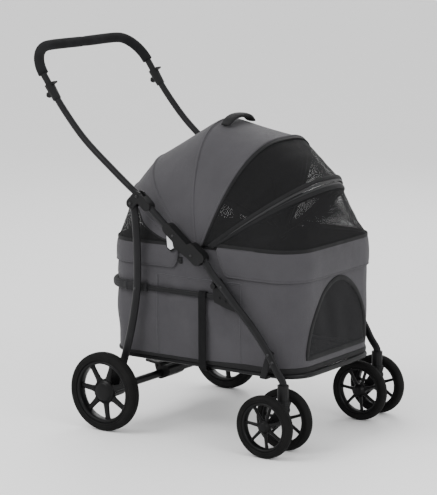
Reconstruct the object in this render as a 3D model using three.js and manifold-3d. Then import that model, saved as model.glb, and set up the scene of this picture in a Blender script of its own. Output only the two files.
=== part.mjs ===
// Pet stroller: a folding steel frame on two rear wheels and two twin front casters, a fabric basket with
// a bow-and-cloth hood, and a U-shaped push handle. Millimetres; +X is forward, +Y is left, +Z is up.
// Side-view places are [x, z] pairs measured from the hood's pivot line (x) and from the floor (z).
import * as THREE from "three";
import { mergeVertices } from "three/addons/utils/BufferGeometryUtils.js";
import Module from "manifold-3d";

const wasm = await Module();
wasm.setup();

// ---------------------------------------------------------------- driving dimensions
const gap = 0.3; // between pieces that touch
const runningGap = 0.6; // between pieces that slide or turn on each other

const tubeRadius = 8.5; // handle and side tubes
const legWidth = 20; // front leg's oval, seen from the side
const legThickness = 12; // front and rear legs, across the stroller
const rearLegWidth = 22;

const basketHalfLength = 278;
const basketHalfWidth = 192;
const basketCornerRadius = 76;
const basketWall = 3;
const basketBottom = 190;
const basketTopRear = 470;
const basketTopFront = 482;

const legClearance = 31; // from the basket's side to the centre line of the legs
const frameHalfWidth = basketHalfWidth + legClearance; // centre lines of the legs and handle tubes
const handlePivot = [-158, 596];
const rearLegPivot = [-177, 577];
const handleCollar = [-424, 838];
const gripStart = [-453, 879];
const handleTop = [-499, 945]; // centre line of the cross bar
const handleCornerRadius = 80;
const foamRadius = 13.25;

const rearWheelRadius = 100;
const rearAxle = [-233, rearWheelRadius];
const rearTyreWidth = 33;
const rearWheelHalfTrack = frameHalfWidth + 48;

const frontWheelRadius = 77;
const frontAxle = [242, frontWheelRadius];
const frontTyreWidth = 26;
const twinSpacing = 88; // between the two wheels of one caster
const casterTrail = 24; // swivel line ahead of the front axle

const hoodPivotHeight = 458;
const hoodHalfWidth = basketHalfWidth + 8; // widest part of the cloth
const clothThickness = 2.5;
const ringHeight = 363; // bar that runs round the basket

// Each bow is an arch in a plane through the pivot line: [angle above forward, reach, roundness].
// Roundness 2 is an ellipse, and a larger number is a squarer arch.
const bows = {
  lower: [33, basketHalfLength + 35, 2.1],
  zip: [36.5, basketHalfLength + 37, 2.2],
  front: [66.5, basketHalfLength + 27, 2.8],
  centre: [99, basketHalfLength + 42, 2.2],
  seam: [136, basketHalfLength + 31, 2.4],
  rear: [153, basketHalfLength + 37, 2.6],
};

// ---------------------------------------------------------------- materials
function finish(colour, roughness, metalness = 0) {
  return () => new THREE.MeshStandardMaterial({ color: colour, roughness, metalness });
}
const paintedSteel = finish(0x1d1d1f, 0.42, 0.5);
const blackPlastic = finish(0x161618, 0.5);
const wheelPlastic = finish(0x121214, 0.45);
const tyreFoam = finish(0x101011, 0.85);
const gripFoam = finish(0x17171a, 0.95);
const greyCloth = finish(0x55555a, 0.9);
const blackMesh = finish(0x1a1a1d, 0.9);
const blackWebbing = finish(0x141417, 0.9);
const boardCard = finish(0x2b2b2e, 0.8);

// ---------------------------------------------------------------- solids
function solidOf(geometry) {
  const bare = geometry.clone();
  for (const name of ["normal", "uv"]) bare.deleteAttribute(name);
  const merged = mergeVertices(bare, 1e-3);
  const triVerts = new Uint32Array(merged.index.array);
  const mesh = new wasm.Mesh({ numProp: 3, vertProperties: merged.attributes.position.array, triVerts });
  return new wasm.Manifold(mesh);
}

function geometryOf(solid) {
  const { vertProperties, triVerts } = solid.getMesh();
  const geometry = new THREE.BufferGeometry();
  geometry.setAttribute("position", new THREE.BufferAttribute(Float32Array.from(vertProperties), 3));
  geometry.setIndex(new THREE.BufferAttribute(Uint32Array.from(triVerts), 1));
  geometry.computeVertexNormals();
  return geometry;
}

// Joins the closed geometries in `added`, then cuts those in `cut` from the result.
function shaped(added, cut = []) {
  const body = added.map(solidOf).reduce((all, piece) => all.add(piece));
  return geometryOf(cut.map(solidOf).reduce((all, piece) => all.subtract(piece), body));
}

const stroller = new THREE.Group();

function addPart(parent, name, geometry, material) {
  const mesh = new THREE.Mesh(geometry, material());
  mesh.name = name;
  parent.add(mesh);
}

// Builds the left-hand copy of a pair as drawn and the right-hand copy mirrored across the middle plane.
function addPair(build) {
  for (const [side, sign] of [["left", 1], ["right", -1]]) {
    const group = new THREE.Group();
    group.scale.y = sign;
    stroller.add(group);
    build(group, side);
  }
}

// ---------------------------------------------------------------- side-view geometry
const along = (a, b, distance) => {
  const length = Math.hypot(b[0] - a[0], b[1] - a[1]);
  return [a[0] + ((b[0] - a[0]) * distance) / length, a[1] + ((b[1] - a[1]) * distance) / length];
};
const distance = (a, b) => Math.hypot(b[0] - a[0], b[1] - a[1]);
const beside = (a, b, distanceAlong, offset) => {
  // A point part way from a to b, then `offset` to the left of that direction.
  const on = along(a, b, distanceAlong);
  const unit = along([0, 0], [b[0] - a[0], b[1] - a[1]], 1);
  return [on[0] - unit[1] * offset, on[1] + unit[0] * offset];
};

// A flat plate: a side-view outline given thickness from y0 to y1.
function plate(shape, y0, y1, curveSegments = 5) {
  const geometry = new THREE.ExtrudeGeometry(shape, { depth: y1 - y0, bevelEnabled: false, curveSegments });
  return geometry.rotateX(Math.PI / 2).translate(0, y1, 0);
}

function outline(points) {
  return new THREE.Shape(points.map(([x, z]) => new THREE.Vector2(x, z)));
}

// A bar with round ends from a to b, seen from the side.
function roundBar(a, b, radius, y0, y1, curveSegments = 3) {
  const angle = Math.atan2(b[1] - a[1], b[0] - a[0]);
  const shape = new THREE.Shape();
  shape.absarc(b[0], b[1], radius, angle - Math.PI / 2, angle + Math.PI / 2, false);
  shape.absarc(a[0], a[1], radius, angle + Math.PI / 2, angle + (3 * Math.PI) / 2, false);
  return plate(shape, y0, y1, curveSegments);
}

// A round pin or hole along Y.
function crossPin([x, z], radius, y0, y1, segments = 12) {
  return new THREE.CylinderGeometry(radius, radius, y1 - y0, segments).translate(x, (y0 + y1) / 2, z);
}

// A lathe about Y from [radius, y] pairs, centred on a side-view point.
function turned(profile, [x, z], y, segments) {
  const points = profile.map(([r, h]) => new THREE.Vector2(r, h));
  return new THREE.LatheGeometry(points, segments).rotateY(Math.PI / segments).translate(x, y, z);
}

// A solid drawn about the Y axis, turned so that Y lies along a side-view direction.
function aimed(geometry, origin, direction, y) {
  const aim = new THREE.Vector3(direction[0], 0, direction[1]).normalize();
  const turn = new THREE.Quaternion().setFromUnitVectors(new THREE.Vector3(0, 1, 0), aim);
  return geometry.applyQuaternion(turn).translate(origin[0], y, origin[1]);
}

// A tube of oval section along a curve: `across` is its half size square to the curve's plane.
function tube(curve, across, inPlane, steps, sides = 12, boreAcross = 0) {
  const section = new THREE.Shape().absellipse(0, 0, across, inPlane, 0, 2 * Math.PI);
  if (boreAcross) {
    section.holes.push(new THREE.Path().absellipse(0, 0, boreAcross, boreAcross, 0, 2 * Math.PI));
  }
  return new THREE.ExtrudeGeometry(section, {
    steps,
    bevelEnabled: false,
    curveSegments: sides / 2,
    extrudePath: curve,
  });
}

function strip(curve, across, inPlane, steps) {
  const section = new THREE.Shape();
  section.moveTo(-across, -inPlane).lineTo(across, -inPlane);
  section.lineTo(across, inPlane).lineTo(-across, inPlane);
  return new THREE.ExtrudeGeometry(section, { steps, bevelEnabled: false, extrudePath: curve });
}

function sideCurve(points, y) {
  const lifted = points.map(([x, z]) => new THREE.Vector3(x, y, z));
  return new THREE.CatmullRomCurve3(lifted, false, "centripetal");
}

// ---------------------------------------------------------------- push handle
// The handle's lower tubes rise from the pivots; a U tube plugs into their collars and carries the grip.
const handleRoute = [[-241, 657], [-327, 726], [-389, 793]];
const collarAim = [gripStart[0] - handleCollar[0], gripStart[1] - handleCollar[1]];
const behindCollar = [-collarAim[1], collarAim[0]];
const collarLength = 44;
const collarRadius = tubeRadius + 4.5;
const collarBore = tubeRadius + 0.7;
const foamBore = tubeRadius + 1.5;
const tongueThickness = 12;
const tongueRadius = 8;
const rivetRadius = 3;
const rivetClearance = 0.4;
const buttonRadius = 5;
const buttonTravel = 3;

// The U tube's centre line, from the left arm round both corners and down the right arm.
function handleLoop(start) {
  const left = [start, along(start, handleTop, 0.5 * (distance(start, handleTop) - handleCornerRadius))];
  const places = left.map(([x, z]) => new THREE.Vector3(x, frameHalfWidth, z));
  for (const turn of [0, 0.25, 0.5, 0.75, 1].map((part) => (part * Math.PI) / 2)) {
    const [x, z] = along(handleTop, start, handleCornerRadius * (1 - Math.sin(turn)));
    places.push(new THREE.Vector3(x, frameHalfWidth - handleCornerRadius * (1 - Math.cos(turn)), z));
  }
  const middle = new THREE.Vector3(handleTop[0], 0, handleTop[1]);
  const mirrored = places.map((p) => new THREE.Vector3(p.x, -p.y, p.z)).reverse();
  return new THREE.CatmullRomCurve3([...places, middle, ...mirrored], false, "centripetal");
}

const grip = tube(handleLoop(gripStart), foamRadius, foamRadius, 24, 10, foamBore);
const bar = tube(handleLoop(along(handleCollar, gripStart, gap)), tubeRadius, tubeRadius, 26, 8);
addPart(stroller, "foam_grip", grip, gripFoam);
addPart(stroller, "handle_bar", bar, paintedSteel);

function handleTube(y) {
  const rise = along(handlePivot, handleRoute[0], 22);
  const top = along(handleCollar, gripStart, -gap);
  const route = [rise, ...handleRoute, along(handleCollar, gripStart, -16), top];
  const tongue = roundBar(handlePivot, along(handlePivot, handleRoute[0], 34), tongueRadius,
    y - tongueThickness / 2, y + tongueThickness / 2);
  const eye = crossPin(handlePivot, rivetRadius + rivetClearance, y - tubeRadius, y + tubeRadius);
  return shaped([tube(sideCurve(route, y), tubeRadius, tubeRadius, 10, 8), tongue], [eye]);
}

// A collar with a flange in front and, behind, a boss that guides the snap button.
function collar(y) {
  const sleeve = new THREE.CylinderGeometry(collarRadius, collarRadius - 2, collarLength, 12);
  const bossDepth = buttonTravel + 2;
  const boss = new THREE.CylinderGeometry(buttonRadius + 3, buttonRadius + 3, bossDepth + 4, 12);
  const bossHole = new THREE.CylinderGeometry(buttonRadius + runningGap, buttonRadius + runningGap, 26, 12);
  const bore = new THREE.CylinderGeometry(collarBore, collarBore, collarLength + 10, 12);
  const flangeEnds = [collarRadius - 4, collarRadius + 6];
  const flange = flangeEnds.map((out) => beside(handleCollar, gripStart, 17, -out));
  return shaped(
    [
      aimed(sleeve, handleCollar, collarAim, y),
      aimed(boss.translate(0, collarRadius + bossDepth / 2 - 2, 0), handleCollar, behindCollar, y),
      roundBar(flange[0], flange[1], 2.5, y - 8, y + 8, 3),
    ],
    [
      aimed(bore, handleCollar, collarAim, y),
      aimed(bossHole.translate(0, collarRadius + 8, 0), handleCollar, behindCollar, y),
    ],
  );
}

function snapButton(y) {
  const length = 9;
  const inner = tubeRadius + buttonTravel + 2 * runningGap;
  const button = new THREE.CylinderGeometry(buttonRadius, buttonRadius, length, 12);
  return aimed(button.translate(0, inner + length / 2, 0), handleCollar, behindCollar, y);
}

addPair((side, name) => {
  addPart(side, "handle_tube_" + name, handleTube(frameHalfWidth), paintedSteel);
  addPart(side, "handle_collar_" + name, collar(frameHalfWidth), blackPlastic);
  addPart(side, "snap_button_" + name, snapButton(frameHalfWidth), blackPlastic);
});

// ---------------------------------------------------------------- front frame
// A side tube runs down from the hinge bracket into the lock sleeve; the front leg starts beside it there.
const sideTubeEnd = [-24, 484];
const sleeveRange = [[-68, 524], [20, 452]];
const frontLegRoute = [
  [2, 481], [30, 460], [58, 425], [89, 394],
  [125, 356], [175, 306], [225, 243], [248, 204],
];
const legRoom = 0.6; // round the front leg in its sleeve and its caster housing
const bracketNeck = 36;
const cheekRadius = 13;
const cheekThickness = 5;
const slotHalf = Math.max(tongueThickness, legThickness) / 2 + runningGap;
const swivelX = frontAxle[0] + casterTrail;
const forkTop = frontAxle[1] + 50;
const legFoot = [swivelX, forkTop + 25];
const frontLegTop = frontLegRoute[0];

function sideTubeRoute(start) {
  return [along(handlePivot, sideTubeEnd, start), sideTubeEnd];
}

// Two cheeks with a slot between them for the handle's tongue and the rear leg, and a neck for the
// side tube.
function hingeBracket(y) {
  const outer = slotHalf + cheekThickness;
  const neckEnd = along(handlePivot, sideTubeEnd, bracketNeck);
  const slotReach = tubeRadius + 9.5;
  const pinEnds = [y - outer - 1.5, y + outer + 1.5];
  const pins = [handlePivot, rearLegPivot].map((place) => crossPin(place, rivetRadius, ...pinEnds));
  const body = shaped(
    [
      roundBar(handlePivot, rearLegPivot, cheekRadius, y - outer, y + outer),
      roundBar(handlePivot, neckEnd, cheekRadius - 1, y - outer, y + outer),
    ],
    [
      roundBar(handlePivot, rearLegPivot, slotReach, y - slotHalf, y + slotHalf),
      roundBar(handlePivot, along(handlePivot, sideTubeEnd, -30), slotReach, y - slotHalf, y + slotHalf),
      tube(sideCurve(sideTubeRoute(bracketNeck - 14), y), tubeRadius + gap, tubeRadius + gap, 1, 8),
    ],
  );
  return shaped([body, ...pins]);
}

function lockSleeve(y) {
  const half = tubeRadius + 3.5;
  const legHead = roundBar(frontLegTop, frontLegRoute[1], legWidth / 2 + 3, y - half, y + half);
  const wing = outline([[-66, 505], [-60, 476], [-4, 444], [14, 452], [-20, 492]]);
  return shaped(
    [
      roundBar(sleeveRange[0], sleeveRange[1], tubeRadius + 4, y - half, y + half),
      legHead,
      plate(wing, y - half, y - half + 6),
    ],
    [
      tube(sideCurve(sideTubeRoute(0), y), tubeRadius + gap, tubeRadius + gap, 1, 8),
      frontLegTube(y, legRoom),
    ],
  );
}

// The front leg's oval tube, or with `room` the hollow that takes it.
function frontLegTube(y, room = 0) {
  const start = along(frontLegTop, frontLegRoute[1], -room);
  const ankle = [swivelX, legFoot[1] + 26];
  const route = sideCurve([start, ...frontLegRoute.slice(1), ankle, legFoot], y);
  return tube(route, legThickness / 2 + room, legWidth / 2 + room, 14, 8);
}

// A moulded bracket on the inner face of the front leg; the basket ring ends in it.
const bracketOuterY = frameHalfWidth - legThickness / 2 - gap;
const ringThickness = 6;
const ringDepth = 12;
const ringHalfWidth = basketHalfWidth + 10;
const bracketInnerY = ringHalfWidth + ringThickness / 2 + gap;
function legBracket() {
  const shape = outline([[54, 402], [74, 412], [96, 384], [132, 346], [126, 334], [98, 340], [62, 352]]);
  const knob = crossPin([62, 393], 7, bracketOuterY - 2, bracketOuterY + 8, 14);
  const rivetEnds = [bracketInnerY + 1, bracketOuterY + 2];
  const rivets = [[76, 364], [94, 357]].map((place) => crossPin(place, rivetRadius, ...rivetEnds, 8));
  return shaped([plate(shape, bracketInnerY, bracketOuterY), knob, ...rivets]);
}

addPair((side, name) => {
  const y = frameHalfWidth;
  const upperTube = tube(sideCurve(sideTubeRoute(bracketNeck - 14 + gap), y), tubeRadius, tubeRadius, 1, 8);
  addPart(side, "hinge_bracket_" + name, hingeBracket(y), blackPlastic);
  addPart(side, "side_tube_" + name, upperTube, paintedSteel);
  addPart(side, "lock_sleeve_" + name, lockSleeve(y), blackPlastic);
  addPart(side, "front_leg_" + name, frontLegTube(y), paintedSteel);
  addPart(side, "leg_bracket_" + name, legBracket(), blackPlastic);
});

// ---------------------------------------------------------------- basket ring and base frame
// A U in a level plane: two arms running back (or forward) and a cross bar with round corners.
function levelU(armStartX, crossX, halfWidth, cornerRadius, z) {
  const toward = Math.sign(crossX - armStartX);
  const places = [[armStartX, halfWidth], [(armStartX + crossX) / 2, halfWidth]];
  for (const turn of [0, 0.25, 0.5, 0.75, 1].map((part) => (part * Math.PI) / 2)) {
    const x = crossX - toward * cornerRadius * (1 - Math.sin(turn));
    places.push([x, halfWidth - cornerRadius * (1 - Math.cos(turn))]);
  }
  const left = places.map(([x, y]) => new THREE.Vector3(x, y, z));
  const right = left.map((p) => new THREE.Vector3(p.x, -p.y, p.z)).reverse();
  return new THREE.CatmullRomCurve3([...left, ...right], false, "centripetal");
}

const ringRearX = -(basketHalfLength + 12);
const ringFrontX = 92;
const ringLine = levelU(ringFrontX, ringRearX, ringHalfWidth, basketCornerRadius + 12, ringHeight);
addPart(stroller, "basket_ring", strip(ringLine, ringDepth / 2, ringThickness / 2, 28), paintedSteel);

const baseRadius = 7;
const baseHeight = basketBottom - baseRadius - gap;
const baseHalfWidth = basketHalfWidth - 10;
const baseFront = basketHalfLength + 4;
const baseFoot = [205, baseHeight];

// Each arm carries a welded plate that rises to the front leg's inner face.
function baseFrame() {
  const bars = tube(levelU(-225, baseFront, baseHalfWidth, 70, baseHeight), baseRadius, baseRadius, 26, 8);
  const plates = [1, -1].flatMap((sign) => {
    const ys = (y0, y1) => [sign * y0, sign * y1].sort((a, b) => a - b);
    const lug = ys(baseHalfWidth, bracketOuterY);
    const rise = ys(bracketOuterY - 5, bracketOuterY);
    return [
      roundBar([baseFoot[0] - 12, baseHeight], [baseFoot[0] + 12, baseHeight], baseRadius - 1, ...lug),
      roundBar([222, 246], baseFoot, 9, ...rise),
    ];
  });
  return shaped([bars, ...plates]);
}
addPart(stroller, "base_frame", baseFrame(), paintedSteel);

// ---------------------------------------------------------------- rear legs, axle and brake
const rearLegY = frameHalfWidth;
const rearLegRoute = [
  rearLegPivot, [-171, 545], [-167, 493], [-165, 430], [-166, 372], [-176, 300],
  [rearAxle[0] + 34, rearAxle[1] + 105], [rearAxle[0] + 11, rearAxle[1] + 35],
];
const axleRadius = 10;
const stubRadius = 8;
const blockRange = [rearLegY - 13, rearLegY + 26];
const wheelInnerY = rearWheelHalfTrack - 18;

function rearLeg(y) {
  const leg = tube(sideCurve(rearLegRoute, y), legThickness / 2, rearLegWidth / 2, 12, 8);
  const eye = crossPin(rearLegPivot, rivetRadius + rivetClearance, y - 10, y + 10);
  const half = legThickness / 2;
  const head = roundBar(rearLegPivot, rearLegRoute[1], rearLegWidth / 2 - 1, y - half, y + half);
  const rivetStart = ringHalfWidth + ringThickness / 2 + 2;
  const ringRivet = crossPin([-168, ringHeight], 4, rivetStart, y + half + 2, 10);
  return shaped([leg, head, ringRivet], [eye]);
}

function axleBlock() {
  const [kneeEnd, legEnd] = rearLegRoute.slice(-2);
  const socket = sideCurve([...rearLegRoute.slice(-3), along(legEnd, kneeEnd, -gap)], rearLegY);
  return shaped(
    [
      roundBar(rearAxle, along(rearAxle, rearLegRoute.at(-2), 46), 21, blockRange[0], blockRange[1]),
      crossPin(rearAxle, 15, blockRange[1] - 1, wheelInnerY - runningGap, 14),
    ],
    [
      tube(socket, legThickness / 2 + legRoom, rearLegWidth / 2 + legRoom, 5, 8),
      crossPin(rearAxle, axleRadius + gap, blockRange[0] - 1, rearLegY + 1, 14),
      crossPin(rearAxle, stubRadius + gap, rearLegY, wheelInnerY + 1, 14),
    ],
  );
}

function rearAxleTube() {
  const shoulder = rearLegY + 0.5;
  const end = rearWheelHalfTrack + 5;
  const profile = [[0, -end], [stubRadius, -end], [stubRadius, -shoulder], [axleRadius, -shoulder],
    [axleRadius, shoulder], [stubRadius, shoulder], [stubRadius, end], [0, end]];
  return turned(profile, rearAxle, 0, 14);
}

addPair((side, name) => {
  addPart(side, "rear_leg_" + name, rearLeg(rearLegY), paintedSteel);
  addPart(side, "axle_block_" + name, axleBlock(), blackPlastic);
});
addPart(stroller, "rear_axle", rearAxleTube(), paintedSteel);

// The brake: a housing clamped round the middle of the axle, with a foot pedal behind it.
const brakeHalf = 34;
const pedalHalf = 22;
const pedalPin = [rearAxle[0] - 8, rearAxle[1] + 20];
const pedalTip = [rearAxle[0] - 52, rearAxle[1] + 26];
const pedalBarrel = 6;
function brakeHousing() {
  const slot = pedalHalf + runningGap;
  return shaped(
    [
      roundBar(rearAxle, [rearAxle[0] + 16, rearAxle[1] + 8], 15, -brakeHalf, brakeHalf),
      roundBar(rearAxle, pedalPin, 9, -brakeHalf, brakeHalf),
    ],
    [
      crossPin(rearAxle, axleRadius + gap, -brakeHalf - 1, brakeHalf + 1, 14),
      roundBar(pedalPin, along(pedalPin, pedalTip, 30), pedalBarrel + 3, -slot, slot),
      crossPin(pedalPin, 3 + rivetClearance, -brakeHalf - 1, brakeHalf + 1, 10),
    ],
  );
}
function brakePedal() {
  return shaped([
    crossPin(pedalPin, pedalBarrel - 1, -pedalHalf, pedalHalf, 10),
    roundBar(pedalPin, pedalTip, 3.5, -pedalHalf, pedalHalf, 3),
    crossPin(pedalPin, 3, -brakeHalf + 2, brakeHalf - 2, 10),
  ]);
}
addPart(stroller, "brake_housing", brakeHousing(), blackPlastic);
addPart(stroller, "brake_pedal", brakePedal(), blackPlastic);

// ---------------------------------------------------------------- wheels
const wheelSegments = 22;
const spokeCount = 7;

// Flats of the faceted tread lie at the true radius.
function tyre(radius, width, rimRadius, place, y) {
  const tread = radius / Math.cos(Math.PI / wheelSegments);
  const half = width / 2;
  const profile = [
    [rimRadius, -half + 2], [tread - 8, -half], [tread, -half / 2],
    [tread, half / 2], [tread - 8, half], [rimRadius, half - 2], [rimRadius, -half + 2],
  ];
  return turned(profile, place, y, wheelSegments);
}

// A moulded rim: an outer band, seven spokes and a hub with a blind bore that opens towards -Y.
function rim({ bandInner, bandOuter, width, hubRadius, hubInner, boreRadius }, place, y, mirrored) {
  const half = width / 2;
  const band = [
    [bandInner, -half], [bandOuter, -half], [bandOuter, half], [bandInner, half], [bandInner, -half],
  ];
  const hub = [
    [boreRadius, hubInner], [hubRadius * 0.62, hubInner], [hubRadius, -4], [hubRadius, 5],
    [hubRadius * 0.7, half], [0, half], [0, half - 6], [boreRadius, half - 6], [boreRadius, hubInner],
  ];
  const spokes = [];
  for (let k = 0; k < spokeCount; k += 1) {
    const spoke = new THREE.BoxGeometry(bandInner - hubRadius + 8, 9, bandInner * 0.16);
    spoke.translate((bandInner + hubRadius) / 2, 0, 0).rotateY((2 * Math.PI * k) / spokeCount + 0.35);
    spokes.push(spoke);
  }
  const origin = [0, 0];
  const whole = shaped([turned(band, origin, 0, wheelSegments), turned(hub, origin, 0, 12), ...spokes]);
  if (mirrored) whole.rotateX(Math.PI);
  return whole.translate(place[0], y, place[1]);
}

const rearRimRadius = rearWheelRadius - 21; // where tyre and rim meet
const frontRimRadius = frontWheelRadius - 17;
const frontAxleRadius = 4;
const forkHalf = 14;
const frontHubInner = -frontTyreWidth / 2 - 1.5;
const rearRimSizes = {
  bandInner: rearRimRadius - 7,
  bandOuter: rearRimRadius - gap,
  width: 24,
  hubRadius: 33,
  hubInner: wheelInnerY - rearWheelHalfTrack + runningGap,
  boreRadius: stubRadius + runningGap,
};
const frontRimSizes = {
  bandInner: frontRimRadius - 6,
  bandOuter: frontRimRadius - gap,
  width: 18,
  hubRadius: 19,
  hubInner: frontHubInner,
  boreRadius: frontAxleRadius + gap,
};
addPair((side, name) => {
  const y = rearWheelHalfTrack;
  const tyreShape = tyre(rearWheelRadius, rearTyreWidth, rearRimRadius, rearAxle, y);
  addPart(side, "rear_tyre_" + name, tyreShape, tyreFoam);
  addPart(side, "rear_rim_" + name, rim(rearRimSizes, rearAxle, y, false), wheelPlastic);
  for (const [place, out] of [["outer", 1], ["inner", -1]]) {
    const twinY = frameHalfWidth + (out * twinSpacing) / 2;
    const label = name + "_" + place;
    const twinTyre = tyre(frontWheelRadius, frontTyreWidth, frontRimRadius, frontAxle, twinY);
    addPart(side, "front_tyre_" + label, twinTyre, tyreFoam);
    addPart(side, "front_rim_" + label, rim(frontRimSizes, frontAxle, twinY, out < 0), wheelPlastic);
  }
});

// ---------------------------------------------------------------- front casters
const stemRadius = 6;
const housingRadius = 14;
const housingTop = legFoot[1] + 22;

// A round post on the swivel line.
function upright(radius, z0, z1, y, segments = 14) {
  const post = new THREE.CylinderGeometry(radius, radius, z1 - z0, segments);
  return post.rotateX(Math.PI / 2).translate(swivelX, y, (z0 + z1) / 2);
}
function casterHousing(y) {
  return shaped(
    [
      upright(housingRadius, forkTop + runningGap, housingTop, y),
      upright(housingRadius + 2, forkTop + runningGap, forkTop + 9, y),
    ],
    [
      frontLegTube(y, legRoom),
      upright(legWidth / 2 + legRoom, legFoot[1] - 2, legFoot[1] + 4, y),
      upright(stemRadius + gap, forkTop - 1, legFoot[1] - 1, y),
    ],
  );
}
function casterFork(y) {
  const hubHalf = twinSpacing / 2 + frontHubInner - runningGap;
  return shaped(
    [
      upright(stemRadius, forkTop - 2, legFoot[1] - 6, y),
      upright(housingRadius + 1, forkTop - 12, forkTop, y),
      roundBar([swivelX, forkTop - 16], frontAxle, 12, y - forkHalf, y + forkHalf),
      crossPin(frontAxle, 11, y - hubHalf, y + hubHalf, 14),
    ],
    [crossPin(frontAxle, frontAxleRadius + gap, y - hubHalf - 1, y + hubHalf + 1)],
  );
}
addPair((side, name) => {
  const y = frameHalfWidth;
  const reach = twinSpacing / 2 + 1;
  addPart(side, "caster_housing_" + name, casterHousing(y), blackPlastic);
  addPart(side, "caster_fork_" + name, casterFork(y), blackPlastic);
  const axle = crossPin(frontAxle, frontAxleRadius, y - reach, y + reach);
  addPart(side, "front_axle_" + name, axle, paintedSteel);
});

// ---------------------------------------------------------------- basket
// Plan outline of the basket at a given inset from its outer face, from x = startX forward (or back).
function halfLoop(inset, startX, toward) {
  const radius = basketCornerRadius - inset;
  const cx = toward * (basketHalfLength - basketCornerRadius);
  const cy = basketHalfWidth - basketCornerRadius;
  const path = [[startX, basketHalfWidth - inset]];
  for (let k = 0; k <= 5; k += 1) {
    const turn = (k / 5) * (Math.PI / 2);
    path.push([cx + toward * radius * Math.sin(turn), cy + radius * Math.cos(turn)]);
  }
  return path.concat(path.map(([x, y]) => [x, -y]).reverse());
}
function levelPlate(points, z0, z1) {
  const solid = new THREE.ExtrudeGeometry(outline(points), { depth: z1 - z0, bevelEnabled: false });
  return solid.translate(0, 0, z0);
}
const basketSplitX = 18; // where the basket's front and rear shells meet
const strapRearX = 8;
function basketHalf(toward, startX, top) {
  const loop = halfLoop(0, startX, toward).concat(halfLoop(basketWall, startX, toward).reverse());
  return levelPlate(loop, basketBottom, top);
}
const floorInset = basketWall + 0.5;
const floorThickness = 4;
const cushionThickness = 18;
function fullLoop(inset) {
  const rearHalf = halfLoop(inset, 0, -1).reverse();
  return halfLoop(inset, 0, 1).slice(0, -1).concat(rearHalf.slice(0, -1));
}
addPart(stroller, "basket_front", basketHalf(1, basketSplitX, basketTopFront), greyCloth);
addPart(stroller, "basket_rear", basketHalf(-1, basketSplitX - gap, basketTopRear), greyCloth);
const boardTop = basketBottom + floorThickness;
addPart(stroller, "floor_board", levelPlate(fullLoop(floorInset), basketBottom, boardTop), boardCard);
const cushionLow = boardTop + gap;
const cushion = levelPlate(fullLoop(floorInset + 8), cushionLow, cushionLow + cushionThickness);
addPart(stroller, "floor_cushion", cushion, greyCloth);

// A webbing strap that hooks over the ring and runs down under the base frame.
function sideStrap() {
  const t = 2;
  const width = 22;
  const outerY = ringHalfWidth + ringThickness / 2 + 1.5;
  const innerY = ringHalfWidth - ringThickness / 2 - 1.5;
  const top = ringHeight + ringDepth / 2 + 1.5;
  const low = baseHeight - baseRadius - 2;
  const tailY = baseHalfWidth - 14;
  const innerEnd = ringHeight - 30;
  const route = [
    [innerY - t, innerEnd], [innerY, innerEnd], [innerY, top], [outerY, top], [outerY, low],
    [tailY, low], [tailY, low - t], [outerY + t, low - t], [outerY + t, top + t], [innerY - t, top + t],
  ];
  const shape = new THREE.Shape(route.map(([y, z]) => new THREE.Vector2(y, z)));
  const geometry = new THREE.ExtrudeGeometry(shape, { depth: width, bevelEnabled: false });
  return geometry.rotateX(Math.PI / 2).rotateZ(Math.PI / 2).translate(strapRearX, 0, 0);
}
addPair((side, name) => addPart(side, "side_strap_" + name, sideStrap(), blackWebbing));

// ---------------------------------------------------------------- hood
// A point on a bow's arch: s runs 0 to 1 from the left foot over the top to the right foot.
function archPoint([angle, reach, roundness], s, halfWidth, inset = 0, footHeight = 0) {
  const tilt = THREE.MathUtils.degToRad(angle);
  const fullReach = reach - inset;
  const footShare = Math.min(0.9, footHeight / (fullReach * Math.sin(tilt)));
  const first = Math.asin(footShare ** (roundness / 2));
  const turn = first + (Math.PI - 2 * first) * s;
  const out = fullReach * Math.sin(turn) ** (2 / roundness);
  const side = Math.sign(Math.cos(turn)) * Math.abs(Math.cos(turn)) ** (2 / roundness);
  const height = hoodPivotHeight + out * Math.sin(tilt);
  return new THREE.Vector3(out * Math.cos(tilt), (halfWidth - inset) * side, height);
}

// A point on the basket's rim line, front half (toward = 1) or rear half (-1), from startX round to startX.
function rimPoint(toward, s, inset, height, startX) {
  const roundness = 4.4;
  const reach = basketHalfLength + 4 - inset;
  const first = Math.asin((startX / reach) ** (roundness / 2));
  const turn = first + (Math.PI - 2 * first) * s;
  const out = reach * Math.sin(turn) ** (2 / roundness);
  const side = Math.sign(Math.cos(turn)) * Math.abs(Math.cos(turn)) ** (2 / roundness);
  return new THREE.Vector3(toward * out, (hoodHalfWidth - inset) * side, height);
}

// A sheet of cloth with thickness, stretched over a row of rails; each rail gives a point for (s, inset).
function cloth(rails, across, between) {
  const rows = (rails.length - 1) * between;
  const geometry = new THREE.BoxGeometry(1, 1, 1, across, rows, 1);
  const position = geometry.getAttribute("position");
  for (let k = 0; k < position.count; k += 1) {
    const s = position.getX(k) + 0.5;
    const row = (position.getY(k) + 0.5) * (rails.length - 1);
    const inset = (0.5 - position.getZ(k)) * clothThickness;
    const lower = Math.min(Math.floor(row + 1e-6), rails.length - 2);
    const point = rails[lower](s, inset).lerp(rails[lower + 1](s, inset), row - lower);
    position.setXYZ(k, point.x, point.y, point.z);
  }
  return geometry;
}

const rimGap = 3;
const clothFoot = basketTopFront + rimGap - hoodPivotHeight;
const overBow = (bow) => (s, inset) => archPoint(bow, s, hoodHalfWidth, inset, clothFoot);
const shifted = ([angle, reach, roundness], by) => [angle + by, reach, roundness];
const footX = ([angle]) => Math.abs(clothFoot / Math.tan(THREE.MathUtils.degToRad(angle))) + 3;
const rearRim = (s, inset) => rimPoint(-1, s, inset, basketTopRear + rimGap, footX(bows.rear));
const frontRim = (s, inset) => rimPoint(1, s, inset, basketTopFront + rimGap, footX(bows.lower));
const seamGap = 0.4; // degrees between neighbouring cloth panels

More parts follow.
